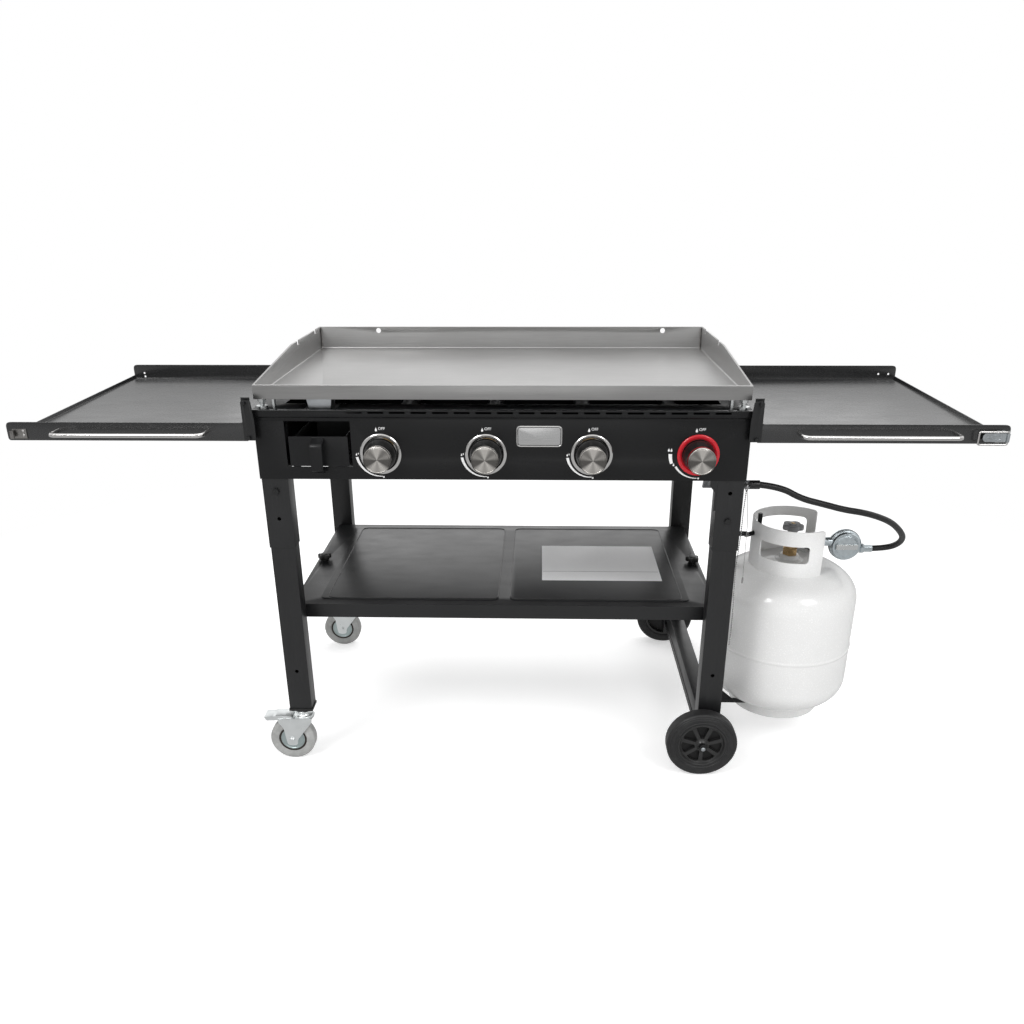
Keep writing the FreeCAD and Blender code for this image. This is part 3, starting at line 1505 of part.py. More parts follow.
def wheel_axle():
    across = (s.wheel_x, wheel_z)
    nut_seat = rear + s.wheel_gap + s.wheel_width + s.rest_gap
    nut_end = nut_seat + s.axle_nut
    parts = [rod("axle_rod", "Y", across, s.axle_radius, (-s.axle_front_end, s.axle_half_length)),
             hexagon("rear_nut", "Y", across, s.axle_nut_radius, (nut_seat, nut_end)),
             hexagon("front_nut", "Y", across, s.axle_nut_radius, (-nut_end, -nut_seat))]
    for end in (-1, 1):
        parts.append(rod("axle_spacer", "Y", across, s.axle_radius + s.axle_spacer,
                         span((rear - s.leg_slip) * end, (rear + s.wheel_gap - s.rest_gap) * end)))
    keep(fuse("wheel_axle", *parts))


def road_wheel(name, end):
    centre = (s.wheel_x, wheel_y * end, wheel_z)
    half = s.wheel_width / 2
    rim = s.tyre_inner_radius - s.running_gap
    dish = s.hub_dish / 2
    boss = s.hub_boss_radius
    bore = s.axle_radius + s.running_gap
    rim_half = half - s.tyre_rim_inset
    inner_rim = rim - s.hub_rim
    hub = revolve(f"wheel_hub_{name}", "Y", [
        (bore, -half), (boss, -half), (boss, -dish), (inner_rim, -dish), (inner_rim, -rim_half),
        (rim, -rim_half), (rim, rim_half), (inner_rim, rim_half), (inner_rim, dish),
        (boss, dish), (boss, half), (bore, half)], centre)
    low = boss + s.hub_window_margin
    high = inner_rim - s.hub_window_margin
    window = pocket(hub, f"hub_window_{name}", "Y", [[
        (-low * 0.28, low), (low * 0.28, low), (high * 0.34, high * 0.92),
        (-high * 0.34, high * 0.92)]], (-dish, dish))
    pattern = hub.newObject("PartDesign::PolarPattern", f"hub_windows_{name}")
    pattern.Originals = [window]
    pattern.Axis = (window.Profile[0], ["N_Axis"])
    pattern.Angle = 360
    pattern.Occurrences = DIMENSIONS["hub_windows"]
    hub.Tip = pattern
    keep(hub)
    radius = s.wheel_radius
    tread = half * 0.62
    shoulder = radius - s.tyre_shoulder
    edge = radius - s.tyre_edge
    keep(revolve(f"wheel_tyre_{name}", "Y", [
        (s.tyre_inner_radius, -rim_half), (shoulder, -half), (edge, -half), (radius, -tread),
        (radius, tread), (edge, half), (shoulder, half), (s.tyre_inner_radius, rim_half)], centre))


def caster_stems():
    items = []
    for end in (-1, 1):
        across = leg_corner(-1, end)
        items.append(fuse(
            "caster_stem",
            rod("stem_pin", "Z", across, s.stem_pin_radius,
                (s.swivel_bottom - s.fork_bridge, s.left_leg_bottom + s.cap_plug)),
            rod("upper_race", "Z", across, s.upper_race_radius,
                (s.upper_race_bottom, s.upper_race_top)),
            hexagon("stem_nut", "Z", across, s.upper_race_radius * 0.6,
                    (s.upper_race_top, s.left_leg_bottom - s.cap_thickness))))
    keep(group("caster_stems", *items))


def caster(name, end):
    y = leg_y * end
    x = caster_x
    axle = (x - s.caster_trail, s.caster_radius)
    inner = s.caster_width / 2 + s.fork_side_gap
    outer = inner + s.fork_sheet
    top = s.swivel_bottom
    pivot = (x - s.pedal_pivot_x, s.pedal_pivot_height)
    tail = pivot[0] - s.fork_taper
    nose = x + s.fork_reach
    skirt = top - s.fork_skirt
    foot = axle[1] - s.fork_foot_drop
    cheek = [(tail, top), (nose, top), (nose - s.fork_taper, skirt),
             (axle[0] + s.fork_foot, foot), (axle[0] - s.fork_foot, foot), (tail, skirt)]
    parts = [prism("fork_cheek", "Y", [cheek], span(y + inner * sign, y + outer * sign))
             for sign in (-1, 1)]
    parts.append(box("fork_bridge", (pivot[0] + s.fork_taper, nose), (y - inner, y + inner),
                     (top - s.fork_bridge, top)))
    parts.append(rod("swivel_race", "Z", (x, y), s.swivel_radius, (top, top + s.swivel_height)))
    parts.append(rod("wheel_bolt", "Y", axle, s.axle_radius, (y - inner, y + inner)))
    parts.append(rod("pedal_pin", "Y", pivot, s.pedal_pin_radius, (y - inner, y + inner)))
    for sign in (-1, 1):
        parts.append(hexagon("wheel_nut", "Y", axle, s.axle_radius * 1.7,
                             span(y + outer * sign, y + (outer + s.bolt_head) * sign)))
    bore = rod("stem_bore", "Z", (x, y), s.stem_pin_radius + s.running_gap,
               (top - s.fork_bridge, top + s.swivel_height))
    keep(cut(f"caster_fork_{name}", fuse("fork_form", *parts), bore))

    half = s.caster_width / 2
    hub_half = half + s.fork_side_gap - s.rest_gap
    radius = s.caster_radius
    boss = s.caster_boss_radius
    bore_radius = s.axle_radius + s.running_gap
    web = half - s.caster_edge
    tread = radius - s.caster_tread
    keep(revolve(f"caster_wheel_{name}", "Y", [
        (bore_radius, -hub_half), (boss, -hub_half), (boss, -web), (tread, -web), (tread, -half),
        (radius - s.caster_edge, -half), (radius, -web), (radius, web),
        (radius - s.caster_edge, half), (tread, half), (tread, web), (boss, web),
        (boss, hub_half), (bore_radius, hub_half)], (axle[0], y, axle[1])))

    half_pedal = inner - s.rest_gap
    plate_half = s.pedal_width / 2
    toe = x - s.pedal_reach
    heel = x - s.swivel_radius - s.pedal_gap
    corner = s.pedal_corner
    pedal = prism("pedal_plate", "Z", [[
        (toe + corner, y - plate_half), (heel, y - plate_half), (heel, y + plate_half),
        (toe + corner, y + plate_half), (toe, y + plate_half - corner),
        (toe, y - plate_half + corner)]], (s.pedal_height, s.pedal_height + s.pedal_sheet))
    barrel_radius = s.pedal_pin_radius + s.pedal_barrel_wall
    ends = (y - half_pedal, y + half_pedal)
    barrel = rod("pedal_barrel", "Y", pivot, barrel_radius, ends)
    web_box = box("pedal_web", (pivot[0] - s.pedal_pin_radius, pivot[0] + s.pedal_pin_radius), ends,
                  (s.pedal_pivot_height, s.pedal_height))
    hole = rod("pedal_bore", "Y", pivot, s.pedal_pin_radius + s.running_gap, ends)
    keep(cut(f"caster_brake_{name}", fuse("pedal_form", pedal, barrel, web_box), hole))


def tank_centre(height=0):
    return (s.tank_x, s.tank_y, height)


def dome_profile(crown, spring, radius):
    """Quarter ellipse of the tank end from its crown down to the side, as a few points."""
    points = []
    steps = DOME_STEPS
    for index in range(1, steps):
        turn = math.pi / 2 * index / steps
        points.append((radius * math.sin(turn), spring + (crown - spring) * math.cos(turn)))
    return points


def tank_shell():
    crown = s.tank_side_top + s.tank_dome
    keel = s.tank_side_bottom - s.tank_dome
    radius = s.tank_radius
    lower = dome_profile(keel, s.tank_side_bottom, radius)
    upper = dome_profile(crown, s.tank_side_top, radius)
    outline = [(0, keel), *lower, (radius, s.tank_side_bottom), (radius, s.tank_side_top),
               *reversed(upper), (0, crown)]
    shell = revolve("tank_body", "Z", outline, tank_centre())
    ring_top = s.tank_side_bottom - s.tank_dome * 0.72
    ring = s.foot_ring_radius
    inner = ring - s.foot_ring_wall
    roll = s.foot_ring_roll
    foot = revolve("foot_ring", "Z", [
        (inner, s.tank_foot_bottom + roll), (inner - roll, s.tank_foot_bottom),
        (ring, s.tank_foot_bottom), (ring, ring_top), (inner, ring_top)], tank_centre())
    keep(fuse("tank_shell", shell, foot))


def sector(name, start, end, radius, heights):
    """Pie-shaped cutter about the tank axis, angles counter-clockwise from +X."""
    item = doc.addObject("Part::Cylinder", name)
    item.Placement.Rotation = Rotation(Vector(0, 0, 1), start)
    item.Angle = end - start
    bind(item, Radius=radius, Height=heights[1] - heights[0])
    place(item, *tank_centre(heights[0]))
    return item


def tank_collar():
    across = (s.tank_x, s.tank_y)
    heights = (s.collar_bottom, s.tank_top)
    window = (s.collar_window_bottom, s.collar_window_top)
    reach = s.collar_radius * 2
    ring = rod("collar_outer", "Z", across, s.collar_radius, heights)
    bead = rod("collar_bead", "Z", across, s.collar_radius + s.collar_wall / 2,
               (s.tank_top - s.collar_wall * 2, s.tank_top))
    band = cut("collar_band", fuse("collar_form", ring, bead),
               rod("collar_inner", "Z", across, s.collar_radius - s.collar_wall, heights))
    openings = [sector("collar_mouth", *COLLAR_MOUTH, reach, heights)]
    openings += [sector("collar_window", *angles, reach, window) for angles in COLLAR_WINDOWS]
    keep(cut("tank_collar", band, *openings))


def tank_valve():
    across = (s.tank_x, s.tank_y)
    crown = s.tank_side_top + s.tank_dome
    outlet = (s.tank_y, s.outlet_height)
    body = s.valve_body_radius
    bonnet_top = s.valve_body_top + s.bolt_head * 2
    bonnet_foot = bonnet_top - s.bonnet_height
    root_top = crown + s.foot_nut * 2
    keep(fuse(
        "tank_valve",
        hexagon("valve_root", "Z", across, body * 1.3, (crown + s.running_gap, root_top)),
        rod("valve_column", "Z", across, body, (root_top, bonnet_foot)),
        cone("valve_bonnet", "Z", across, (body, body * 0.6), (bonnet_foot, bonnet_top)),
        rod("valve_spindle", "Z", across, s.spindle_radius,
            (bonnet_top, s.handwheel_bottom + s.handwheel_height / 2)),
        rod("valve_outlet", "X", outlet, s.outlet_tube_radius, (s.tank_x, s.tank_x + s.outlet_end))))


def tank_handwheel():
    across = (s.tank_x, s.tank_y)
    low = s.handwheel_bottom
    high = low + s.handwheel_height
    grip = lobed_disc("handwheel", across, s.handwheel_radius, (low, high),
                      DIMENSIONS["handwheel_lobes"], s.handwheel_radius * 0.3)
    screw = hexagon("handwheel_screw", "Z", across, s.spindle_radius, (high, high + s.sheet))
    bore = rod("handwheel_bore", "Z", across, s.spindle_radius + s.running_gap,
               (low, low + s.handwheel_height / 2 + s.rest_gap))
    keep(cut("tank_handwheel", fuse("handwheel_form", grip, screw), bore))


def coupling_nut():
    axis = (s.tank_y, s.outlet_height)
    start = s.tank_x + s.nut_start
    end = start + s.nut_length
    body = hexagon("nut_body", "X", axis, s.nut_radius, (start, end))
    body.Polygon = DIMENSIONS["nut_sides"]
    step = s.tank_x + s.outlet_end + s.rest_gap
    keep(cut("coupling_nut", body,
             rod("outlet_socket", "X", axis, s.outlet_tube_radius + s.rest_gap, (start, step)),
             rod("nipple_socket", "X", axis, s.nipple_radius + s.rest_gap, (step, end))))


def regulator():
    x = s.tank_x + s.regulator_offset
    y = s.tank_y
    radius = s.regulator_radius
    depth = s.regulator_half_depth
    bevel = s.regulator_bevel
    face = radius * 0.65
    disc = revolve("regulator_disc", "Y", [
        (0, -depth), (face, -depth), (radius, -depth + bevel), (radius, depth - bevel),
        (face, depth), (0, depth)], (x, y, s.regulator_height))
    start = s.tank_x + s.outlet_end + s.rest_gap
    inlet = (y, s.outlet_height)
    outlet = (y, s.regulator_outlet_height)
    nut_end = s.tank_x + s.nut_start + s.nut_length
    end = s.tank_x + s.regulator_end
    neck = s.nipple_radius
    body_edge = x + radius
    keep(fuse(
        "regulator", disc,
        rod("inlet_nipple", "X", inlet, neck, (start, x)),
        rod("inlet_neck", "X", inlet, neck * 1.4, (nut_end + s.rest_gap * 2, x)),
        rod("outlet_neck", "X", outlet, neck * 1.15, (x, end)),
        hexagon("outlet_nut", "X", outlet, neck * 1.6, (body_edge, body_edge + s.foot_nut))))


def gas_hose():
    """Free hose: straight runs joined by tangent arcs as large as the runs allow."""
    start = (hose_start, panel_back + s.inlet_setback, s.inlet_height)
    points = [Vector(*(number(base) + step for base, step in zip(start, steps)))
              for steps in HOSE_ROUTE]
    bends = []
    for before, here, after in zip(points, points[1:], points[2:]):
        turn = (here - before).getAngle(after - here)
        shorter = min((here - before).Length, (after - here).Length)
        bends.append(0.45 * shorter / math.tan(turn / 2))
    shape, length = round_bar(points, s.hose_radius, bends)
    print("hose bend radii", [round(bend, 1) for bend in bends], "length", round(length, 1))
    section = math.pi * s.hose_radius.number ** 2
    if abs(shape.Volume - section * length) > 0.01 * section * length:
        raise RuntimeError("hose volume differs from section times length")
    hose = doc.addObject("Part::Feature", "gas_hose")
    hose.Shape = shape
    keep(hose)


def tank_hook():
    plate_z = (s.hook_plate_bottom, s.hook_plate_bottom + s.hook_plate_height)
    plate_y = -leg_y + s.leg_depth / 4
    plate = box("hook_plate", (s.leg_outer_x, s.leg_outer_x + s.hook_plate_sheet),
                (plate_y - s.leg_depth / 4, plate_y + s.leg_depth / 4), plate_z)
    under_band = s.collar_window_top - s.rest_gap - s.hook_rod_radius
    tip_x = s.tank_x - s.collar_radius + s.hook_rod_radius + s.collar_wall * 3
    tip_y = s.tank_y + s.hook_tip_offset
    root_z = s.hook_plate_bottom + s.hook_plate_height / 2
    root_x = s.leg_outer_x + s.hook_plate_sheet / 2
    points = [(root_x, plate_y, root_z), (root_x + s.hook_root_run, plate_y, root_z),
              (tip_x - s.hook_slope_reach, s.tank_y - s.hook_slope_depth, under_band),
              (tip_x, tip_y, under_band), (tip_x, tip_y, s.hook_tip_height)]
    arm = bar_feature("hook_arm", points, s.hook_rod_radius, s.hook_bend)
    keep(fuse("tank_hook", plate, arm))


def tank_steady():
    root = leg_x + s.wheel_rail_width / 2
    reach = s.tank_x - s.foot_ring_radius * 0.5
    half = s.steady_sheet / 2
    thin = s.steady_bottom + s.steady_bar
    arm = prism("steady_arm", "Y", [[
        (root, s.steady_bottom), (reach, s.steady_bottom), (reach, thin),
        (root + s.steady_slope_end, thin), (root + s.steady_slope_start, s.steady_top),
        (root, s.steady_top)]], (s.steady_y - half, s.steady_y + half))
    clear = rod("foot_clearance", "Z", (s.tank_x, s.tank_y), s.foot_ring_radius + s.rest_gap,
                (s.steady_bottom, s.steady_top))
    keep(cut("tank_steady", arm, clear))


def match_chain():
    across = (s.chain_x, s.chain_y)
    wire = s.chain_wire
    ring_z = s.chain_top - s.chain_ring_radius + s.chain_hook_radius + s.rest_gap + wire
    thick = (s.chain_x - wire, s.chain_x + wire)
    ring = cut("chain_ring",
               rod("ring_outer", "X", (s.chain_y, ring_z), s.chain_ring_radius + wire, thick),
               rod("ring_inner", "X", (s.chain_y, ring_z), s.chain_ring_radius - wire, thick))
    ring_low = ring_z - s.chain_ring_radius
    links_low = s.chain_top - s.chain_links
    links = hexagon("chain_run", "Z", across, s.chain_radius, (links_low, ring_low))
    holder = hexagon("match_rod", "Z", across, s.chain_radius * 0.8, (s.chain_end, links_low))
    end = hexagon("match_grip", "Z", across, s.chain_radius * 1.8,
                  (s.chain_end, s.chain_end + s.chain_grip))
    keep(fuse("match_chain", ring, links, holder, end))


def build():
    griddle_plate()
    grease_chute()
    levelling_feet()
    firebox()
    control_panel()
    burners()
    gas_manifold()
    gas_valves()
    for index, x in enumerate(knob_places, start=1):
        knob_and_stem(index, x)
    knob_bezels()
    grease_tray()
    grease_tray_runners()
    both(side_tray)
    both(tray_handle)
    hinge_hardware()
    latch()
    latch_catch()
    assembly_bolts()
    leg_sleeves()
    lower_legs()
    leg_end_caps()
    rails()
    bottom_shelf()
    both(clamp_knob)
    wheel_axle()
    caster_stems()
    for name, end in (("front", -1), ("rear", 1)):
        road_wheel(name, end)
        caster(name, end)
    tank_shell()
    tank_collar()
    tank_valve()
    tank_handwheel()
    coupling_nut()
    regulator()
    gas_hose()
    tank_hook()
    tank_steady()
    match_chain()


def check_and_write():
    doc.recompute()
    for item in doc.Objects:
        if {"Invalid", "Error"} & set(item.State):
            raise RuntimeError(f"{item.Name} failed: {item.State}")
    for item in pieces:
        if item.Label != item.Name:
            raise RuntimeError("label " + item.Label)
        if item.Shape.isNull() or not item.Shape.isValid() or not item.Shape.Solids:
            raise RuntimeError(item.Name + " has no valid solid")
    for item in pieces:
        item.Shape.exportStep(f"parts/{item.Label}.step")
    print(len(pieces), "pieces written")


build()
check_and_write()
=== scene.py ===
"""Looks of the outdoor gas griddle station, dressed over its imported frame.

Metres. +Z is up, the knobs face -Y, and the origin lies on the floor under the middle.
"""

import json
import math
import random

import bmesh
import bpy
from mathutils import Matrix, Vector

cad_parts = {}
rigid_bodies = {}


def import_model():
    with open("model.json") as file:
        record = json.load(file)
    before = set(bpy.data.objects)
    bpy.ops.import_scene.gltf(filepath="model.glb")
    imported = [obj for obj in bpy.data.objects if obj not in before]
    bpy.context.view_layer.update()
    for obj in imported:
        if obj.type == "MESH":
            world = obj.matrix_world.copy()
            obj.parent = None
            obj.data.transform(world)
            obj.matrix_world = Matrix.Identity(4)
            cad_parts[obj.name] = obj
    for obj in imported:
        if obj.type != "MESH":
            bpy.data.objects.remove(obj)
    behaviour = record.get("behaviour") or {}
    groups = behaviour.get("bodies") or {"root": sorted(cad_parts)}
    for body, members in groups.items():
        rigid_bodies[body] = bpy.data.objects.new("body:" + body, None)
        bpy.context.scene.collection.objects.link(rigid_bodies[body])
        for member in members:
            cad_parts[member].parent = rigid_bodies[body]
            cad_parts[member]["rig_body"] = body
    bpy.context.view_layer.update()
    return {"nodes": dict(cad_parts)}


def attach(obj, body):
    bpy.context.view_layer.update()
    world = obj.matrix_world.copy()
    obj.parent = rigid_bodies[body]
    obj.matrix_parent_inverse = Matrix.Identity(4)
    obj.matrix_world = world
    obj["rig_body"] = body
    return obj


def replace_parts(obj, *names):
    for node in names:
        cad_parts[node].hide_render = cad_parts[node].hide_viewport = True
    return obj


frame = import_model()
random.seed(7)
ROOT = "station"
MM = 0.001
bpy.context.scene.view_settings.view_transform = "Standard"


# Node graphs

class Graph:
    """Node tree built from nothing."""

    def __init__(self, owner):
        owner.use_nodes = True
        self.tree = owner.node_tree
        self.tree.nodes.clear()

    def add(self, kind, sockets=None, **options):
        """New node with its options set and its sockets fed."""
        node = self.tree.nodes.new(kind)
        for key, value in options.items():
            setattr(node, key, value)
        for key, value in (sockets or {}).items():
            self.feed(node.inputs[key], value)
        return node

    def feed(self, socket, value):
        """Link an output to the socket, or set a plain value on it."""
        if isinstance(value, bpy.types.NodeSocket):
            self.tree.links.new(value, socket)
        else:
            socket.default_value = value

    def spread(self, value, low, high, source=(0.3, 0.7)):
        """Value mapped from its source range to low...high."""
        return self.add("ShaderNodeMapRange", {"Value": value, "From Min": source[0], "From Max": source[1],
                                               "To Min": low, "To Max": high}).outputs["Result"]

    def math(self, operation, first, second=0.0):
        return self.add("ShaderNodeMath", {0: first, 1: second}, operation=operation).outputs[0]


class Surface(Graph):
    """One procedural material, built round a Principled shader in object coordinates."""

    def __init__(self, name, metallic=0.0, ior=1.5, anisotropic=0.0):
        self.material = bpy.data.materials.new(name)
        super().__init__(self.material)
        self.bsdf = self.add("ShaderNodeBsdfPrincipled",
                             {"Metallic": metallic, "IOR": ior, "Anisotropic": anisotropic})
        self.add("ShaderNodeOutputMaterial", {0: self.bsdf.outputs[0]})
        self.place = self.add("ShaderNodeTexCoord").outputs["Object"]

    def noise(self, scale, detail=3.0, stretch=(1, 1, 1), rough=0.55, shift=0.0):
        mapping = self.add("ShaderNodeMapping", {"Vector": self.place, "Scale": stretch,
                                                 "Location": (shift, shift * 0.7, -shift)})
        return self.add("ShaderNodeTexNoise", {"Vector": mapping.outputs[0], "Scale": scale, "Detail": detail,
                                               "Roughness": rough}).outputs["Fac"]

    def mix(self, factor, first, second):
        """Colour mix; each side is a colour or an output."""
        first, second = ((*side, 1) if isinstance(side, tuple) else side for side in (first, second))
        return self.add("ShaderNodeMix", {0: factor, 6: first, 7: second}, data_type="RGBA").outputs[2]

    def varied(self, pattern, colour, dark, light, source=(0.3, 0.7)):
        """Colour that goes from a darker to a lighter shade with the pattern."""
        return self.mix(self.spread(pattern, 0, 1, source), shade(colour, dark), shade(colour, light))

    def worn_edges(self, base, worn):
        """Base colour that turns half way to the worn one along sharp outer edges."""
        point = self.add("ShaderNodeNewGeometry").outputs["Pointiness"]
        edge = self.spread(point, 0.0, 0.5, (0.53, 0.62))
        return self.mix(self.math("MULTIPLY", edge, self.spread(self.noise(160), 0, 1)), base, worn)

    def finish(self, colour, roughness, height, depth):
        """Material with its colour, its roughness and a relief that is depth metres deep."""
        relief = self.add("ShaderNodeBump", {"Strength": 1.0, "Distance": depth, "Height": height})
        for socket, output in {"Base Color": colour, "Roughness": roughness,
                               "Normal": relief.outputs[0]}.items():
            self.feed(self.bsdf.inputs[socket], output)
        return self.material


def shade(colour, factor):
    return tuple(channel * factor for channel in colour)


def painted(name, colour, rough, grain=900, depth=0.00004, vary=0.12, worn=None, ior=1.5):
    """Powder coat or moulded plastic: even colour, fine orange peel, faint handling marks."""
    s = Surface(name, ior=ior)
    base = s.varied(s.noise(9, 4), colour, 1 - vary, 1 + vary)
    base = s.mix(s.spread(s.noise(grain * 1.7, 2), 0, 0.35, (0.55, 0.8)), base, shade(colour, 1.6))
    if worn is not None:
        base = s.worn_edges(base, worn)
    smear = s.spread(s.noise(14, 5, (1, 2.2, 1), shift=3), rough * 0.88, rough * 1.12)
    peel = s.noise(grain, 2)
    return s.finish(base, s.math("ADD", smear, s.spread(peel, -0.03, 0.03)), peel, depth)


def rolled(name, colour, rough, stretch, line, depth, stain):
    """Bare or plated metal with rolling or brushing lines along one axis."""
    s = Surface(name, metallic=1.0)
    base = s.varied(s.noise(5, 5, shift=1), colour, 1 - stain, 1 + stain * 0.6)
    base = s.mix(s.spread(s.noise(9, 6, stretch, 0.7), 0, 1), base, shade(colour, 1 - line))
    fine = s.noise(26, 4, stretch, 0.7, 2)
    cloud = s.spread(s.noise(6, 4, shift=5), -0.04, 0.04)
    return s.finish(base, s.math("ADD", s.spread(fine, rough * 0.85, rough * 1.15), cloud), fine, depth)


def plated(name, colour, rough, mottle=55, vary=0.07, depth=0.00003):
    """Zinc or galvanised finish: pale metal with soft crystals."""
    s = Surface(name, metallic=1.0)
    cell = s.add("ShaderNodeTexVoronoi", {"Scale": mottle, "Vector": s.place}, feature="SMOOTH_F1")
    base = s.varied(cell.outputs["Distance"], colour, 1 - vary, 1 + vary, (0.1, 0.8))
    base = s.mix(s.spread(s.noise(30, 4), 0, 0.5), base, shade(colour, 1 - vary * 2))
    return s.finish(base, s.spread(s.noise(120, 3), rough * 0.8, rough * 1.2), s.noise(500, 2), depth)


def spun(name, colour, rough):
    """Steel turned about a Y axis, with fine circular lines, and wedges of painted highlight and painted
    shade round the turned face.
    """
    s = Surface(name, metallic=1.0, anisotropic=0.85)
    s.feed(s.bsdf.inputs["Tangent"], s.add("ShaderNodeTangent", direction_type="RADIAL", axis="Y").outputs[0])
    across, _, up = s.add("ShaderNodeSeparateXYZ", {0: s.place}).outputs
    squares = s.math("ADD", s.math("MULTIPLY", across, across), s.math("MULTIPLY", up, up))
    angle = s.math("ARCTAN2", across, up)
    two, five = (s.math("COSINE", s.math("MULTIPLY", angle, lobes)) for lobes in (2.0, 5.0))
    painted_reflection_wedges = s.math("ADD", s.math("MULTIPLY", two, 0.55), s.math("MULTIPLY", five, 0.35))
    wave = s.add("ShaderNodeTexNoise", {"Scale": 2600, "Detail": 2, "W": s.math("POWER", squares, 0.5)},
                 noise_dimensions="1D").outputs["Fac"]
    lines = s.varied(wave, colour, 0.86, 1)
    # Base colour goes from 0.17 of the steel to full in lobes round the axis: painted highlight and painted
    # shade for the reflections of a turned face.
    base = s.mix(s.spread(painted_reflection_wedges, 0, 1, (-0.5, 0.6)), shade(colour, 0.17), lines)
    return s.finish(base, s.spread(s.noise(60, 3), rough * 0.85, rough * 1.15), wave, 0.00001)


def rubber(name, colour, rough, grain=420, depth=0.00012, dust=0.25):
    """Matt rubber with a little grey dust on it."""
    s = Surface(name, ior=1.45)
    base = s.varied(s.noise(22, 5), colour, 0.8, 1.25)
    grey = tuple(min(1, channel * 2.2 + 0.03) for channel in colour)
    base = s.mix(s.spread(s.noise(70, 5, shift=4), 0, dust, (0.5, 0.8)), base, grey)
    return s.finish(base, s.spread(s.noise(90, 3), rough * 0.88, rough * 1.1), s.noise(grain, 3), depth)


# Finishes: a linear colour and a roughness, then what each kind of surface takes

BLACK = (0.0080, 0.0082, 0.0088)
coat = painted("black_powder_coat", BLACK, 0.30, worn=(0.10, 0.10, 0.10), ior=1.28)
body_coat = painted("body_powder_coat", BLACK, 0.33, 900, 0.00003, 0.08, ior=1.40)
panel_coat = painted("panel_powder_coat", shade(BLACK, 0.75), 0.30, ior=1.36)
strap_coat = painted("strap_powder_coat", shade(BLACK, 0.9), 0.34)
tray_front_coat = painted("drawer_powder_coat", BLACK, 0.36, ior=1.34)
tray_coat = painted("tray_powder_coat", BLACK, 0.27, 700, 0.00001, 0.06, ior=1.78)
shelf_coat = painted("shelf_powder_coat", shade(BLACK, 1.15), 0.34)
leg_coat = painted("leg_powder_coat", shade(BLACK, 1.25), 0.36)
bolt_black = painted("bolt_black", shade(BLACK, 0.7), 0.28, 700, 0.00002)
dark_plastic = painted("black_moulding", (0.009, 0.009, 0.009), 0.38, 600, 0.00008)
knob_plastic = painted("knob_moulding", (0.008, 0.008, 0.008), 0.33, 700, 0.00003)
hub_plastic = painted("wheel_moulding", (0.017, 0.017, 0.017), 0.34, 700, 0.00006)
# Near-black painted shade: the floors of the hub windows, the regulator's crimp and the line round its bar.
painted_shade_black = painted("recess_painted_shade", (0.003, 0.003, 0.003), 0.6, 700, 0.00003)
seam_dark = painted("caster_seam", (0.020, 0.014, 0.010), 0.5, 700, 0.00003)
plate_steel = rolled("bare_plate_steel", (0.42, 0.417, 0.413), 0.36, (1, 55, 55), 0.16, 0.00003, 0.12)
stainless = rolled("polished_steel", (0.66, 0.65, 0.64), 0.14, (30, 30, 30), 0.05, 0.000005, 0.04)
badge_steel = rolled("badge_steel", (0.62, 0.62, 0.62), 0.30, (2, 90, 90), 0.10, 0.000008, 0.04)
# Knob caps: spun steel that carries the painted highlight and painted shade wedges.
cap_steel = spun("spun_steel", (0.74, 0.71, 0.67), 0.24)
bright_rod = rolled("bright_rod", (0.62, 0.61, 0.60), 0.17, (1, 40, 40), 0.06, 0.000005, 0.05)
chain_steel = rolled("chain_steel", (0.55, 0.55, 0.55), 0.22, (40, 40, 40), 0.10, 0.000005, 0.08)
zinc = plated("zinc_plating", (0.70, 0.72, 0.72), 0.28)
caster_zinc = plated("caster_zinc", (0.90, 0.93, 0.93), 0.34, 45, 0.05)
caster_disc = plated("caster_disc_zinc", (0.50, 0.58, 0.58), 0.36, 60, 0.05)
catch_zinc = plated("catch_zinc", (0.30, 0.29, 0.28), 0.32, 70, 0.10)
# Burner steel darkened as painted shade, for the dark gap under the plate.
burner_steel_painted_shade = plated("burner_steel_painted_shade", (0.10, 0.10, 0.105), 0.42, 60, 0.12)
galvanised = plated("galvanised_sheet", (0.48, 0.50, 0.52), 0.38, 40, 0.12)
cast_zinc = plated("die_cast_zinc", (0.48, 0.51, 0.53), 0.34, 160, 0.08, 0.00008)
regulator_metal = plated("regulator_metal", (0.62, 0.68, 0.71), 0.36, 160, 0.08, 0.00006)
brass = plated("worn_brass", (0.55, 0.38, 0.19), 0.30, 90, 0.12)
white_enamel = painted("white_enamel", (0.76, 0.76, 0.755), 0.11, 260, 0.00003, 0.015)
collar_enamel = painted("collar_enamel", (0.80, 0.80, 0.795), 0.32, 320, 0.00004, 0.03)
grey_plastic = painted("grey_moulding", (0.20, 0.20, 0.205), 0.42, 500, 0.00008)
red_enamel = painted("red_ring", (0.52, 0.012, 0.022), 0.24, 500, 0.00003, 0.06)
black_tyre = rubber("black_tyre", (0.015, 0.015, 0.0155), 0.52)
grey_tyre = rubber("grey_tyre", (0.34, 0.342, 0.335), 0.60)
hose_rubber = rubber("hose_rubber", (0.011, 0.011, 0.0115), 0.42, 600, 0.0001, 0.12)
ferrule_black = painted("ferrule_black", (0.009, 0.009, 0.009), 0.30, 500, 0.00003)
mark_white = painted("print_white", (0.78, 0.78, 0.78), 0.5, 900, 0.00001, 0.04)
label_paper = painted("label_film", (0.84, 0.84, 0.845), 0.4, 500, 0.00002, 0.03)
weld_metal = rolled("weld_bead", (0.36, 0.35, 0.34), 0.42, (12, 12, 12), 0.25, 0.0001, 0.2)


# Mesh helpers

def placed(name, data, place=(0, 0, 0)):
    """New object in the scene."""
    obj = bpy.data.objects.new(name, data)
    obj.location = place
    bpy.context.scene.collection.objects.link(obj)
    return obj


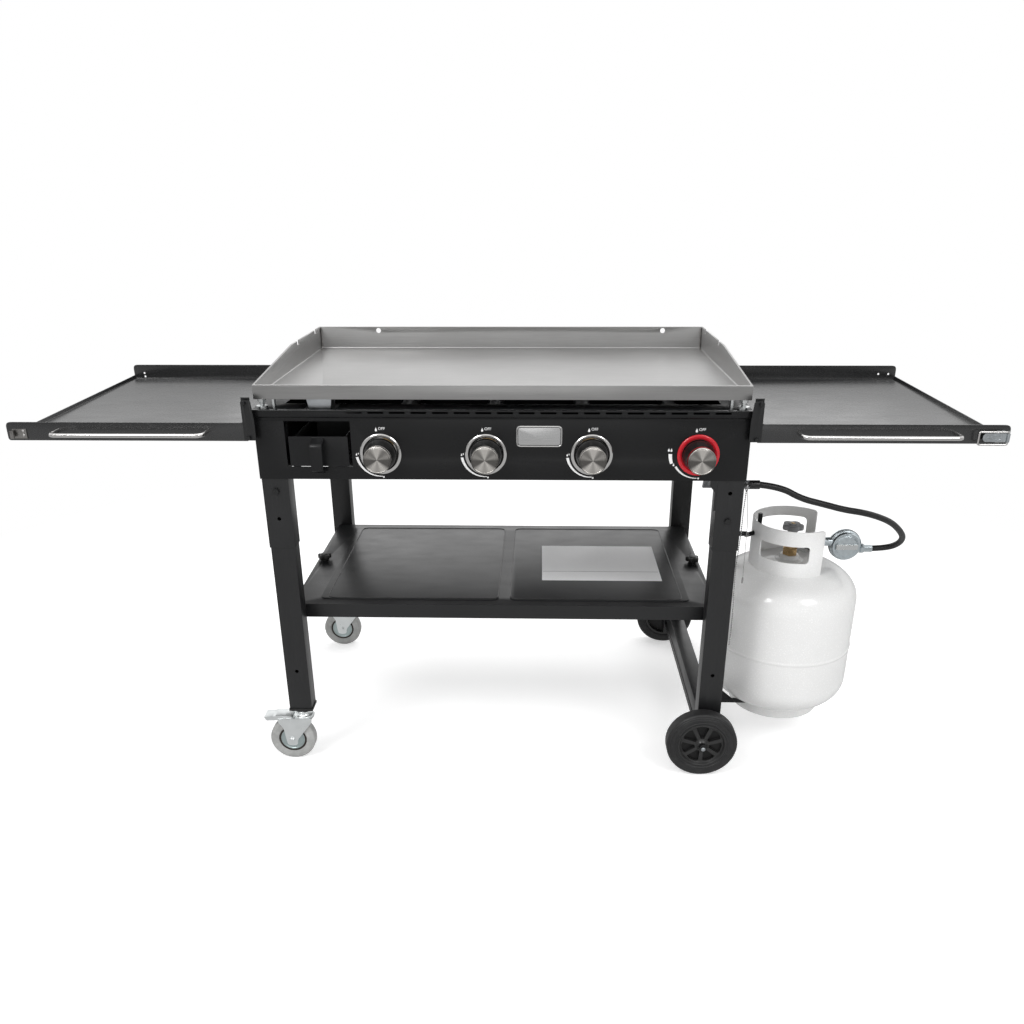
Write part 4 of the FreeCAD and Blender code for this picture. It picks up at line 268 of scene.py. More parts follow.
def from_bmesh(name, bm, origin=(0, 0, 0)):
    bmesh.ops.recalc_face_normals(bm, faces=bm.faces)
    mesh = bpy.data.meshes.new(name)
    bm.to_mesh(mesh)
    bm.free()
    return placed(name, mesh, origin)


def round_edges(bm, width, segments=2, angle=32, choose=None):
    """Bevel the edges sharper than the angle, or those of them that are chosen."""
    limit = math.radians(angle)
    edges = [edge for edge in bm.edges if len(edge.link_faces) == 2
             and edge.calc_face_angle(0) > limit and (choose is None or choose(edge))]
    if edges:
        bmesh.ops.bevel(bm, geom=edges, offset=width, segments=segments, profile=0.5,
                        affect="EDGES", clamp_overlap=True)


def node_form(node):
    """Working copy of a CAD node's mesh, with flat faces merged."""
    bm = bmesh.new()
    bm.from_mesh(frame["nodes"][node].data)
    bmesh.ops.remove_doubles(bm, verts=bm.verts, dist=2e-6)
    bmesh.ops.dissolve_limit(bm, angle_limit=math.radians(0.5), verts=bm.verts, edges=bm.edges)
    return bm


def tint(obj, material):
    obj.data.materials.clear()
    obj.data.materials.append(material)
    return obj


def extra(obj, material, node, sharp=28):
    """Finished piece that sits on a CAD node and moves with it."""
    if material is not None:
        tint(obj, material)
    if sharp is not None:
        obj.data.shade_smooth()
        obj.data.set_sharp_from_angle(angle=math.radians(sharp))
    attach(obj, frame["nodes"][node]["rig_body"])
    return obj


def stand_for(obj, material, node, sharp=28):
    """Finished piece that takes the place of a CAD node."""
    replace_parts(extra(obj, material, node, sharp), node)
    return obj


def dressed(node, material, width, segments=2):
    """Copy of a CAD node with its sharp edges rounded, standing for the node."""
    bm = node_form(node)
    round_edges(bm, width * MM, segments)
    return stand_for(from_bmesh(node + "_form", bm), material, node)


def kept(node, material):
    """CAD node shown as it is, with smooth corner normals and its own finish."""
    obj = frame["nodes"][node]
    mesh = tint(obj, material).data

    def spot(corner):
        return tuple(round(value * 1e5) for value in mesh.vertices[corner].co)

    meeting = {}
    for polygon in mesh.polygons:
        for corner in polygon.vertices:
            meeting.setdefault(spot(corner), []).append(polygon)
    limit = math.cos(math.radians(30))
    normals = []
    for polygon in mesh.polygons:
        for corner in polygon.vertices:
            total = Vector()
            for other in meeting[spot(corner)]:
                if other.normal.dot(polygon.normal) > limit:
                    total += other.normal * other.area
            normals.append(tuple(total.normalized() if total.length > 0 else polygon.normal))
    mesh.polygons.foreach_set("use_smooth", [True] * len(mesh.polygons))
    mesh.normals_split_custom_set(normals)


def skin(bm, rings):
    """Faces from each ring of points to the next; a ring may be a single point."""
    for ring, following in zip(rings, rings[1:]):
        size = max(len(ring), len(following))
        for k in range(size if size > 1 else 0):
            near = (k + 1) % size
            corners = (ring[k % len(ring)], ring[near % len(ring)],
                       following[near % len(following)], following[k % len(following)])
            bm.faces.new(list(dict.fromkeys(corners)))


def lathe(name, outline, centre, axis, segments):
    """Closed (radius, height) outline turned about an axis through the centre."""
    bm = bmesh.new()
    rings = []
    for radius, height in outline:
        if radius < 1e-7:
            rings.append([bm.verts.new((0, 0, height))])
            continue
        rings.append([bm.verts.new((radius * math.cos(turn), radius * math.sin(turn), height))
                      for turn in (2 * math.pi * k / segments for k in range(segments))])
    skin(bm, rings + rings[:1])
    if axis != "Z":
        bm.transform(Matrix.Rotation(-math.pi / 2, 4, "X") if axis == "Y" else
                     Matrix.Rotation(math.pi / 2, 4, "Y"))
    return from_bmesh(name, bm, centre)


def cylinder(name, centre, radius, axis, ends):
    """Plain cutter or shank along an axis; ends are measured from the centre."""
    outline = [(0, ends[0]), (radius, ends[0]), (radius, ends[1]), (0, ends[1])]
    return lathe(name, outline, centre, axis, 24)


def smooth_outline(points, steps):
    """Outline whose corners with a third value are rounded by that radius."""
    result = []
    count = len(points)
    for index, point in enumerate(points):
        if len(point) < 3:
            result.append(tuple(point))
            continue
        here = Vector(point[:2])
        back = Vector(points[index - 1][:2]) - here
        ahead = Vector(points[(index + 1) % count][:2]) - here
        half = back.angle(ahead) / 2
        reach = min(point[2] / math.tan(half), back.length * 0.49, ahead.length * 0.49)
        start = here + back.normalized() * reach
        end = here + ahead.normalized() * reach
        for step in range(steps + 1):
            t = step / steps
            result.append(tuple(start * (1 - t) ** 2 + here * 2 * t * (1 - t) + end * t * t))
    return result


def shape(points, steps=4, at=(0, 0)):
    """Smooth outline from points and corner radii in millimetres, round a place in metres."""
    return smooth_outline([(at[0] + a * MM, at[1] + b * MM, *(corner * MM for corner in rest))
                           for a, b, *rest in points], steps)


def turned(name, profile, centre, axis="Y", segments=96, steps=4, flip=1):
    """Lathe piece from a profile in millimetres; a flip of -1 turns it end for end."""
    outline = shape([(radius, height * flip, *rest) for radius, height, *rest in profile], steps)
    return lathe(name, outline, centre, axis, segments)


def mirrored(half):
    """Profile that is the same on both sides, from the side with heights above 0."""
    return half + [(radius, -height, *rest) for radius, height, *rest in reversed(half)]


def arc(centre, radius, start, step, count):
    """Points in a plane on a circle; angles in degrees, anticlockwise."""
    return [(centre[0] + radius * math.cos(turn), centre[1] + radius * math.sin(turn))
            for turn in (math.radians(start + step * k) for k in range(count))]


def slab(name, outline, axis, ends, bevel):
    """Outline across an axis, given a thickness between two heights on it."""
    bm = bmesh.new()
    place = "XYZ".index(axis)
    low, high = ([bm.verts.new((*point[:place], height, *point[place:])) for point in outline]
                 for height in sorted(ends))
    bm.faces.new(low)
    bm.faces.new(list(reversed(high)))
    for index in range(len(outline)):
        near = (index + 1) % len(outline)
        bm.faces.new((low[index], high[index], high[near], low[near]))
    bmesh.ops.recalc_face_normals(bm, faces=bm.faces)
    if bevel:
        round_edges(bm, bevel, 2, 40)
    return from_bmesh(name, bm)


def rounded_rectangle(xs, zs, radius):
    return smooth_outline([(xs[0], zs[0], radius), (xs[1], zs[0], radius),
                           (xs[1], zs[1], radius), (xs[0], zs[1], radius)], 6)


def span(middle, half):
    """Ends of a length with this middle; the half is in millimetres."""
    return middle - half * MM, middle + half * MM


def inset(ends, inward):
    """Ends brought in by some millimetres."""
    return ends[0] + inward * MM, ends[1] - inward * MM


def bent_path(points, radius, steps):
    """Straight runs whose inner corners are rounded by an arc."""
    points = [Vector(point) for point in points]
    path = [points[0]]
    for before, here, after in zip(points, points[1:], points[2:]):
        back = (before - here).normalized()
        ahead = (after - here).normalized()
        half = back.angle(ahead) / 2
        reach = radius / math.tan(half)
        centre = here + (back + ahead).normalized() * (radius / math.sin(half))
        first = here + back * reach - centre
        last = here + ahead * reach - centre
        for step in range(steps + 1):
            path.append(centre + first.slerp(last, step / steps) * radius)
    path.append(points[-1])
    return path


def tube(name, path, radius, sides, closed=False, wobble=0.0):
    """Round bar along a path; wobble varies its radius from ring to ring."""
    bm = bmesh.new()
    path = [Vector(point) for point in path]
    count = len(path)
    side = None
    rings = []
    for index, point in enumerate(path):
        if closed:
            heading = path[(index + 1) % count] - path[index - 1]
        else:
            heading = path[min(index + 1, count - 1)] - path[max(index - 1, 0)]
        heading.normalize()
        if side is None:
            side = heading.orthogonal().normalized()
        side = (side - heading * side.dot(heading)).normalized()
        other = heading.cross(side)
        size = radius * (1 + random.uniform(-wobble, wobble))
        rings.append([bm.verts.new(point + side * size * math.cos(turn) + other * size * math.sin(turn))
                      for turn in (2 * math.pi * k / sides for k in range(sides))])
    skin(bm, rings + rings[:1] if closed else rings)
    if not closed:
        bm.faces.new(rings[0])
        bm.faces.new(list(reversed(rings[-1])))
    return from_bmesh(name, bm)


def loop(name, outline, y, radius, sides=8):
    """Closed bead along an outline in the plane at y."""
    return tube(name, [(x, y, z) for x, z in outline], radius * MM, sides, closed=True)


def joined(name, objects):
    """One object from several new ones, each keeping its own material."""
    for obj in bpy.context.scene.objects:
        obj.select_set(False)
    for obj in objects:
        obj.select_set(True)
    bpy.context.view_layer.objects.active = objects[0]
    bpy.ops.object.join()
    objects[0].name = name
    objects[0].data.name = name
    return objects[0]


def assembled(node, pieces, material=None, sharp=35):
    """Pieces joined into one that stands for a CAD node."""
    return stand_for(joined(f"{node}_form", pieces), material, node, sharp)


def cut_with(obj, *cutters):
    """Real boolean cuts, applied to the mesh at once."""
    for cutter in cutters:
        modifier = obj.modifiers.new("cut", "BOOLEAN")
        modifier.operation = "DIFFERENCE"
        modifier.solver = "EXACT"
        modifier.object = cutter
    depsgraph = bpy.context.evaluated_depsgraph_get()
    mesh = bpy.data.meshes.new_from_object(obj.evaluated_get(depsgraph))
    obj.modifiers.clear()
    obj.data = mesh
    for cutter in cutters:
        bpy.data.objects.remove(cutter)
    return obj


# Camera at the photograph's place

CAMERA_PLACE = Vector((0.070571, -1.923576, 1.184148))
YAW, PITCH, ROLL = (math.radians(value) for value in (-1.649, 22.689, -0.231))
FOCAL_PIXELS = 878.22
IMAGE = 1024
CENTRE_PIXEL = (513.849, 556.775)
SENSOR = 36.0

camera_data = bpy.data.cameras.new("camera")
camera = placed("camera", camera_data)
forward = Vector((math.sin(YAW) * math.cos(PITCH), math.cos(YAW) * math.cos(PITCH), -math.sin(PITCH)))
level = Vector((math.cos(YAW), -math.sin(YAW), 0))
above = level.cross(forward)
right = level * math.cos(ROLL) + above * math.sin(ROLL)
upward = above * math.cos(ROLL) - level * math.sin(ROLL)
camera.matrix_world = Matrix((
    (right.x, upward.x, -forward.x, CAMERA_PLACE.x),
    (right.y, upward.y, -forward.y, CAMERA_PLACE.y),
    (right.z, upward.z, -forward.z, CAMERA_PLACE.z),
    (0, 0, 0, 1)))
camera_data.sensor_width = SENSOR
camera_data.sensor_fit = "HORIZONTAL"
camera_data.lens = FOCAL_PIXELS / IMAGE * SENSOR
camera_data.shift_x = (IMAGE / 2 - CENTRE_PIXEL[0]) / IMAGE
camera_data.shift_y = (CENTRE_PIXEL[1] - IMAGE / 2) / IMAGE
camera_data.clip_end = 100
bpy.context.scene.camera = camera


# Gas hose

HOSE_ROUTE = [
    (517, -223, 634), (560, -222, 629), (604, -224, 605), (651, -223, 593), (695, -219, 580),
    (738, -210, 571), (777, -198, 557), (811, -182, 539), (838, -163, 515), (859, -139, 490),
    (862, -116, 466), (845, -97, 448), (815, -88, 443),
]
HOSE_RADIUS = 6.5 * MM

hose_curve = bpy.data.curves.new("gas_hose_line", "CURVE")
hose_curve.dimensions = "3D"
hose_curve.bevel_depth = HOSE_RADIUS
hose_curve.bevel_resolution = 8
hose_curve.resolution_u = 16
hose_curve.use_fill_caps = True
spline = hose_curve.splines.new("NURBS")
spline.points.add(len(HOSE_ROUTE) - 1)
for point, place in zip(spline.points, HOSE_ROUTE):
    point.co = (*(value * MM for value in place), 1)
spline.order_u = 3
spline.use_endpoint_u = True
hose = placed("gas_hose_line", hose_curve)
hose_curve.materials.append(hose_rubber)
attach(hose, ROOT)
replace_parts(hose, "gas_hose")


# Studio

FLOOR_PALE = (0.86, 0.86, 0.86, 1)
FLOOR_LIFT = 0.45
FLOOR_MIRRORED = 0.58
FLOOR_NEAR = 1.0
FLOOR_FAR = 2.2
FLOOR_HALF = 30.0


def floor_material():
    """Pale floor with the shadow near the object, plain white further out, greyer in reflections."""
    material = bpy.data.materials.new("floor")
    g = Graph(material)
    ray = g.add("ShaderNodeLightPath").outputs
    seen = ray["Is Camera Ray"]
    place = g.add("ShaderNodeTexCoord").outputs["Object"]
    reach = g.add("ShaderNodeVectorMath", {0: place}, operation="LENGTH").outputs["Value"]
    far = g.math("MULTIPLY", seen, g.spread(reach, 0, 1, (FLOOR_NEAR, FLOOR_FAR)))

    def glow(strength):
        return g.add("ShaderNodeEmission", {"Strength": strength}).outputs[0]

    def either(share, first, second):
        return g.add("ShaderNodeMixShader", {0: share, 1: first, 2: second}).outputs[0]

    pale = g.add("ShaderNodeBsdfDiffuse", {"Color": FLOOR_PALE}).outputs[0]
    near = g.add("ShaderNodeAddShader", {0: pale, 1: glow(g.math("MULTIPLY", seen, FLOOR_LIFT))}).outputs[0]
    looked_at = either(far, near, glow(1.0))
    g.add("ShaderNodeOutputMaterial", {0: either(ray["Is Glossy Ray"], looked_at, glow(FLOOR_MIRRORED))})
    return material


bm = bmesh.new()
bmesh.ops.create_grid(bm, x_segments=1, y_segments=1, size=FLOOR_HALF)
floor = tint(from_bmesh("floor", bm), floor_material())

AMBIENT = 0.80
ROOM_DIM = 0.06


def studio_world():
    """White to the camera; reflections see it white behind and overhead, dim on the camera's side."""
    world = bpy.data.worlds.new("studio")
    g = Graph(world)
    ray = g.add("ShaderNodeLightPath").outputs
    direct = g.math("MAXIMUM", ray["Is Camera Ray"], ray["Is Transmission Ray"])
    place = g.add("ShaderNodeTexCoord").outputs["Generated"]
    _, back, up = g.add("ShaderNodeSeparateXYZ", {0: place}).outputs
    mirrored_room = g.math("MAXIMUM", g.spread(back, ROOM_DIM, 1.0, (-0.55, 0.05)),
                           g.spread(up, ROOM_DIM, 0.95, (0.05, 0.45)))
    lit = g.add("ShaderNodeMix", {0: ray["Is Glossy Ray"], 2: AMBIENT, 3: mirrored_room}).outputs[0]
    strength = g.add("ShaderNodeMix", {0: direct, 2: lit, 3: 1.0}).outputs[0]
    backdrop = g.add("ShaderNodeBackground", {"Color": (1, 1, 1, 1), "Strength": strength})
    g.add("ShaderNodeOutputWorld", {0: backdrop.outputs[0]})
    return world


bpy.context.scene.world = studio_world()


def softbox(name, place, target, size, power):
    """Rectangular lamp that faces its target."""
    data = bpy.data.lights.new(name, "AREA")
    data.shape = "RECTANGLE"
    data.size, data.size_y = size
    data.energy = power
    lamp = placed(name, data, place)
    lamp.rotation_euler = (Vector(target) - Vector(place)).to_track_quat("-Z", "Y").to_euler()


softbox("key", (-1.7, -2.0, 3.0), (0, 0, 0.6), (1.2, 1.2), 42)
softbox("fill", (2.0, -2.2, 2.9), (0.1, 0, 0.5), (1.2, 1.2), 28)
softbox("top", (0, 0.9, 3.4), (0, 0, 0.6), (3.2, 1.6), 34)
softbox("low_front", (0, -4.2, 0.9), (0, 0, 0.5), (3.0, 1.0), 9)
softbox("low_rear", (0.2, 3.4, 1.3), (0.1, 0, 0.4), (3.4, 1.2), 7)


# Griddle plate

PLATE_FLOOR = 0.8235
PLATE_HALF = 0.466
PLATE_BACK = 0.271
PLATE_FRONT = -0.281
REAR_WALL_TOP = 0.873
FRONT_WALL_TOP = 0.845
WELD_INSET = 2.4 * MM


def griddle_plate():
    """CAD plate with its folds rounded, and a weld bead down each corner."""
    bm = node_form("griddle_plate")
    round_edges(bm, 3.2 * MM, 5, choose=lambda edge: not edge.is_convex and all(
        abs(vert.co.z - PLATE_FLOOR) < 1e-5 for vert in edge.verts))
    round_edges(bm, 0.7 * MM, 2, choose=lambda edge: edge.is_convex)
    stand_for(from_bmesh("griddle_plate_form", bm), plate_steel, "griddle_plate")
    beads = []
    y = PLATE_BACK - WELD_INSET
    for side in (-1, 1):
        x = side * (PLATE_HALF - WELD_INSET)
        path = [(x, y, REAR_WALL_TOP - step * 2.1 * MM) for step in range(23)]
        path += [(x, y - step * 2 * MM, PLATE_FLOOR + 0.9 * MM) for step in range(1, 10)]
        beads.append(tube("corner_weld", path, 1.5 * MM, 8, wobble=0.22))
        path = [(x, PLATE_FRONT + WELD_INSET, FRONT_WALL_TOP - step * 2 * MM) for step in range(10)]
        beads.append(tube("front_weld", path, 1.2 * MM, 8, wobble=0.2))
    extra(joined("plate_welds", beads), weld_metal, "griddle_plate")


griddle_plate()


# Sheet-metal body, legs and shelf

RIB_X = (0.0132, 0.3830)
RIB_Y = 0.2118
RIB_Z = 0.3699

# Node, finish, width of the rounded edges in millimetres, and their segments where not 2
for node, material, *edges in (
        ("firebox", body_coat, 0.5), ("control_panel", panel_coat, 0.9, 3),
        ("grease_chute", galvanised, 0.4), ("grease_tray", tray_front_coat, 0.5),
        ("hinge_straps", strap_coat, 0.5), ("hinge_brackets", strap_coat, 0.4),
        ("leg_sleeves", leg_coat, 1.6, 3), ("lower_legs", leg_coat, 2.2, 3),
        ("shelf_rails", leg_coat, 1.2), ("wheel_rail", leg_coat, 1.5),
        ("bottom_shelf", shelf_coat, 0.8, 3)):
    dressed(node, material, *edges)


def shelf_beads():
    """Shallow bead along the outline of each raised panel."""
    beads = []
    for side in (-1, 1):
        ends = sorted(x * side for x in RIB_X)
        path = [(x, y, RIB_Z) for x, y in rounded_rectangle(ends, (-RIB_Y, RIB_Y), 16 * MM)]
        beads.append(tube("shelf_bead", path, 1.1 * MM, 8, closed=True))
    extra(joined("shelf_beads", beads), shelf_coat, "bottom_shelf", sharp=60)


shelf_beads()
dressed("tank_steady", coat, 0.5)
dressed("assembly_bolts", bolt_black, 0.4)
dressed("leg_end_caps", dark_plastic, 0.6)


# Side trays with their handles

TRAY_HOLES = {"left": ((-0.934, 0.756), (-0.933, 0.7475)), "right": ((0.918, 0.7564), (0.9426, 0.7564))}
TRAY_END = 0.960
TRAY_TOP = 0.777
CAD_CORNER = 20 * MM
CORNER_POWER = 0.42
FLANGE_FACE = 0.299
FLANGE_INSIDE = 0.290
FRONT_END_INSET = 9 * MM
INSET_START = 0.925
INSET_RUN = 15 * MM
HANDLE_X = (0.560, 0.850)
HANDLE_Z = 0.761
HANDLE_REACH = 38.25 * MM


def side_tray(name):
    """CAD tray whose flange corners are drawn out nearer to the square, with the holes at its rear."""
    bm = node_form(f"side_tray_{name}")
    for vert in bm.verts:
        across = abs(vert.co.x) - (TRAY_END - CAD_CORNER)
        up = vert.co.z - (TRAY_TOP - CAD_CORNER)
        if across > 0 and up > 0 and abs(math.hypot(across, up) - CAD_CORNER) < 0.3 * MM:
            across, up = (CAD_CORNER * min(1, value / CAD_CORNER) ** CORNER_POWER for value in (across, up))
            vert.co.x = math.copysign(TRAY_END - CAD_CORNER + across, vert.co.x)
            vert.co.z = TRAY_TOP - CAD_CORNER + up
    for vert in bm.verts:
        if vert.co.y < -FLANGE_INSIDE:
            share = min(1, max(0, (abs(vert.co.x) - INSET_START) / INSET_RUN))
            vert.co.x -= math.copysign(FRONT_END_INSET * share, vert.co.x)
    round_edges(bm, 0.7 * MM, 3)
    holes = [cylinder("tray_hole", (x, FLANGE_FACE, z), 2.6 * MM, "Y", (-8 * MM, 8 * MM))
             for x, z in TRAY_HOLES[name]]
    stand_for(cut_with(from_bmesh(f"side_tray_{name}_form", bm), *holes), tray_coat, f"side_tray_{name}")


def tray_handle(name, side):
    root = -FLANGE_FACE + 2 * MM
    front = -FLANGE_FACE - HANDLE_REACH
    corners = ((HANDLE_X[0], root), (HANDLE_X[0], front), (HANDLE_X[1], front), (HANDLE_X[1], root))
    path = bent_path([(side * x, y, HANDLE_Z) for x, y in corners], 12 * MM, 10)
    bar = tube(f"tray_handle_{name}_form", path, 4.0 * MM, 28)
    stand_for(bar, bright_rod, f"tray_handle_{name}", sharp=40)


for name, side in (("left", -1), ("right", 1)):
    side_tray(name)
    tray_handle(name, side)


# Knobs and their rings

KNOB_X = (-0.233, -0.0295, 0.174, 0.3775)
KNOB_Z = 0.714
KNOB_SEAM = -0.3224
PANEL_FACE = -0.289
RED_KNOB = 4


def knob(index, x):
    """Black skirt and steel cap that meet at the seam."""
    centre = (x, KNOB_SEAM, KNOB_Z)
    skirt = turned("knob_skirt", [
        (0, 19), (17, 19), (27, 20), (27.5, 25, 1), (31, 25, 1.2), (30.4, 21, 2), (25.6, 1.2, 1), (25, 0),
        (0, 0)], centre)
    cap = turned("knob_cap", [
        (0, 0), (25.2, 0), (26.5, -0.6, 0.5), (26.5, -10.4, 1.2), (25.0, -12, 1.0), (24.1, -12, 0.4),
        (23.5, -11.3, 0.4), (22.7, -11.75, 0.5), (10, -11.25), (0, -11.1)], centre, segments=128)
    pieces = [tint(skirt, knob_plastic), tint(cap, cap_steel)]
    assembled(f"knob_{index}", pieces)


def bezel(index, x):
    """Pressed ring whose rounded rim stands round a black dished seat."""
    centre = (x, PANEL_FACE, KNOB_Z)
    ring = turned("bezel_ring", [
        (30.6, 0), (40.5, 0, 0.5), (40.3, -1.8, 1.2), (38.4, -3.3, 1.4), (34.2, -3.0, 2.4),
        (31.4, -1.0, 1.0), (30.6, -0.6, 0.3)], centre, segments=128, steps=6)
    seat = turned("bezel_seat", [(12, 0), (31.2, 0), (31.2, -1.0), (20, -0.5), (12, -0.5)], centre)
    return [tint(ring, red_enamel if index == RED_KNOB else stainless), tint(seat, dark_plastic)]


rings = []
for index, x in enumerate(KNOB_X, start=1):
    knob(index, x)
    rings += bezel(index, x)
assembled("knob_bezels", rings)


# Printed marks round the knobs

PRINT_DEPTH = 0.15 * MM
MARK_PLANE = PANEL_FACE - PRINT_DEPTH
CRESCENT_STEPS = 28
# Bands are start, end, inner radius and the two widths; flames are radius, angle and size
PLAIN_BANDS = ((188, 272, 44.2, 5.2, 1.3),)
PLAIN_FLAMES = ((47.2, 182.5, 3.4), (43.6, 180.0, 2.6))
RED_BANDS = ((178, 199, 50.0, 7.0, 5.6), (209, 270, 45.6, 4.2, 1.2))
RED_FLAMES = ((57.4, 171.5, 4.6), (52.4, 171.0, 4.6), (50.5, 204, 4.2))


def printed(outline):
    """Thin printed mark on the panel, its outline given in X and Z."""
    return slab("mark", outline, "Y", (MARK_PLANE, PANEL_FACE + 0.05 * MM), 0)


def polar(x, radius, degrees):
    """Place round the knob at x; the radius is in millimetres."""
    return arc((x, KNOB_Z), radius * MM, degrees, 0, 1)[0]


def crescent(x, start, end, inner, first_width, last_width):
    """Arc band whose width goes evenly from one value to the other."""
    low = []
    high = []
    for k in range(CRESCENT_STEPS + 1):
        share = k / CRESCENT_STEPS
        turn = start + (end - start) * share
        low.append(polar(x, inner, turn))
        high.append(polar(x, inner + first_width + (last_width - first_width) * share, turn))
    return printed(low + high[::-1])


def drop(place, size):
    """Small drop or flame: round below, pointed above."""
    x, z = place
    size = size * MM
    tip = [(x + size * 0.12, z + size * 0.75), (x, z + size * 1.15), (x - size * 0.12, z + size * 0.75)]
    return printed(arc(place, size * 0.42, 150, 24, 11) + tip)


def off_word(index, x):
    data = bpy.data.curves.new(f"off_word_{index}", "FONT")
    data.body = "OFF"
    data.size = 7.6 * MM
    data.extrude = PRINT_DEPTH / 2
    data.materials.append(mark_white)
    obj = placed(data.name, data, (x - 2.4 * MM, MARK_PLANE + PRINT_DEPTH / 2, KNOB_Z + 47.4 * MM))
    obj.rotation_euler = (math.pi / 2, 0, 0)
    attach(obj, ROOT)


marks = []
for index, x in enumerate(KNOB_X, start=1):
    marks.append(drop((x - 6.4 * MM, KNOB_Z + 46.6 * MM), 5.2))
    off_word(index, x)
    marks.append(printed(arc(polar(x, 46.6, 274), 1.7 * MM, 0, 22.5, 16)))
    bands, flames = (RED_BANDS, RED_FLAMES) if index == RED_KNOB else (PLAIN_BANDS, PLAIN_FLAMES)
    marks += [crescent(x, *band) for band in bands]
    marks += [drop(polar(x, radius, angle), size) for radius, angle, size in flames]
extra(joined("dial_marks", marks), mark_white, "control_panel", sharp=None)


# Bare badge and label plates

BADGE_X = (0.0290, 0.1170)
BADGE_Z = (0.7292, 0.7706)
LABEL_X = (0.082, 0.352)
LABEL_Y = (-0.113, 0.094)
RULE_Y = (-0.0634, -0.0622)
PANEL_TOP = 0.370


def badge():
    """Plate with a bright rim and, inside it, a dark line of painted shade that stands for a groove."""
    plate = slab("badge_plate", rounded_rectangle(BADGE_X, BADGE_Z, 9 * MM), "Y",
                 (PANEL_FACE - 1.6 * MM, PANEL_FACE + 0.05 * MM), 0.5 * MM)
    # Dark bead as painted shade where a groove would be.
    groove_painted_shade = loop("badge_painted_groove_shade", rounded_rectangle(inset(BADGE_X, 3.2), inset(BADGE_Z, 3.2), 6.2 * MM),
                  PANEL_FACE - 1.55 * MM, 0.6, 6)
    rim = loop("badge_rim", rounded_rectangle(inset(BADGE_X, 1.3), inset(BADGE_Z, 1.3), 7.8 * MM),
               PANEL_FACE - 1.5 * MM, 0.9)
    pieces = [tint(plate, badge_steel), tint(rim, stainless), tint(groove_painted_shade, dark_plastic)]
    extra(joined("badge", pieces), None, "control_panel")


def shelf_label():
    """Bare film with one dark rule across it."""
    film = slab("label_film_plate", rounded_rectangle(LABEL_X, LABEL_Y, 3 * MM), "Z",
                (PANEL_TOP - 0.1 * MM, PANEL_TOP + 0.35 * MM), 0.1 * MM)
    left, right = inset(LABEL_X, 2)
    rule = slab("label_rule", [(left, RULE_Y[0]), (right, RULE_Y[0]), (right, RULE_Y[1]), (left, RULE_Y[1])],
                "Z", (PANEL_TOP + 0.2 * MM, PANEL_TOP + 0.42 * MM), 0)
    pieces = [tint(film, label_paper), tint(rule, dark_plastic)]
    extra(joined("shelf_label", pieces), None, "bottom_shelf")


badge()
shelf_label()


# Latch and catch

LATCH_Z = 0.755
BAIL_PIVOT = (0.9435, -0.3093)
BAIL_LENGTH = 54 * MM
BAIL_Z = (0.742, 0.766)
LEVER_EYE = (0.926, LATCH_Z)
RIVETS = ((-0.9185, 0.7515), (-0.9185, 0.7600))


def latch():
    dressed("latch_base", zinc, 0.3)
    dressed("latch_lever", cast_zinc, 0.35)
    x, y = BAIL_PIVOT
    tip = x - BAIL_LENGTH
    corners = ((x, LATCH_Z + 1 * MM), (x, BAIL_Z[1]), (tip, BAIL_Z[1]), (tip, BAIL_Z[0]), (x, BAIL_Z[0]),
               (x, LATCH_Z - 1 * MM))
    wire = bent_path([(a, y, b) for a, b in corners], 3.2 * MM, 6)
    stand_for(tube("latch_bail_form", wire, 1.75 * MM, 16), bright_rod, "latch_bail", sharp=40)
    teardrop = arc(LEVER_EYE, 4.4 * MM, -100, 20, 11)
    teardrop += [(0.908, LATCH_Z + 1.2 * MM), (0.907, LATCH_Z), (0.908, LATCH_Z - 1.2 * MM)]
    extra(loop("lever_emboss", teardrop, -FLANGE_FACE - 8.7 * MM, 0.55, 6), cast_zinc, "latch_lever")


def catch():
    dressed("latch_catch", catch_zinc, 0.3)
    rivets = [turned("catch_rivet", [(0, 0), (2.4, 0), (2.3, -0.7, 0.8), (1.2, -1.2, 0.8), (0, -1.3)],
                     (x, -FLANGE_FACE - 1.5 * MM, z), segments=24) for x, z in RIVETS]
    extra(joined("catch_rivets", rivets), stainless, "latch_catch")


latch()
catch()


# Hand grips

CLAMP_X = 0.437
CLAMP_LOW = 0.3683
LOBES = 5
STAR_POINTS = 120


def paint_where(obj, material, test):
    """Give the faces whose centre passes the test another finish."""
    obj.data.materials.append(material)
    index = len(obj.data.materials) - 1
    for polygon in obj.data.polygons:
        if test(polygon.center):
            polygon.material_index = index


def star_outline(centre, radius, depth, phase):
    """Lobed outline for a hand grip; depth is how far the hollows cut in."""
    points = []
    for k in range(STAR_POINTS):
        turn = 2 * math.pi * k / STAR_POINTS
        wave = 0.5 + 0.5 * math.cos(LOBES * (turn - phase))
        reach = radius - depth * (1 - wave) ** 1.5
        points.append((centre[0] + reach * math.cos(turn), centre[1] + reach * math.sin(turn)))
    return points


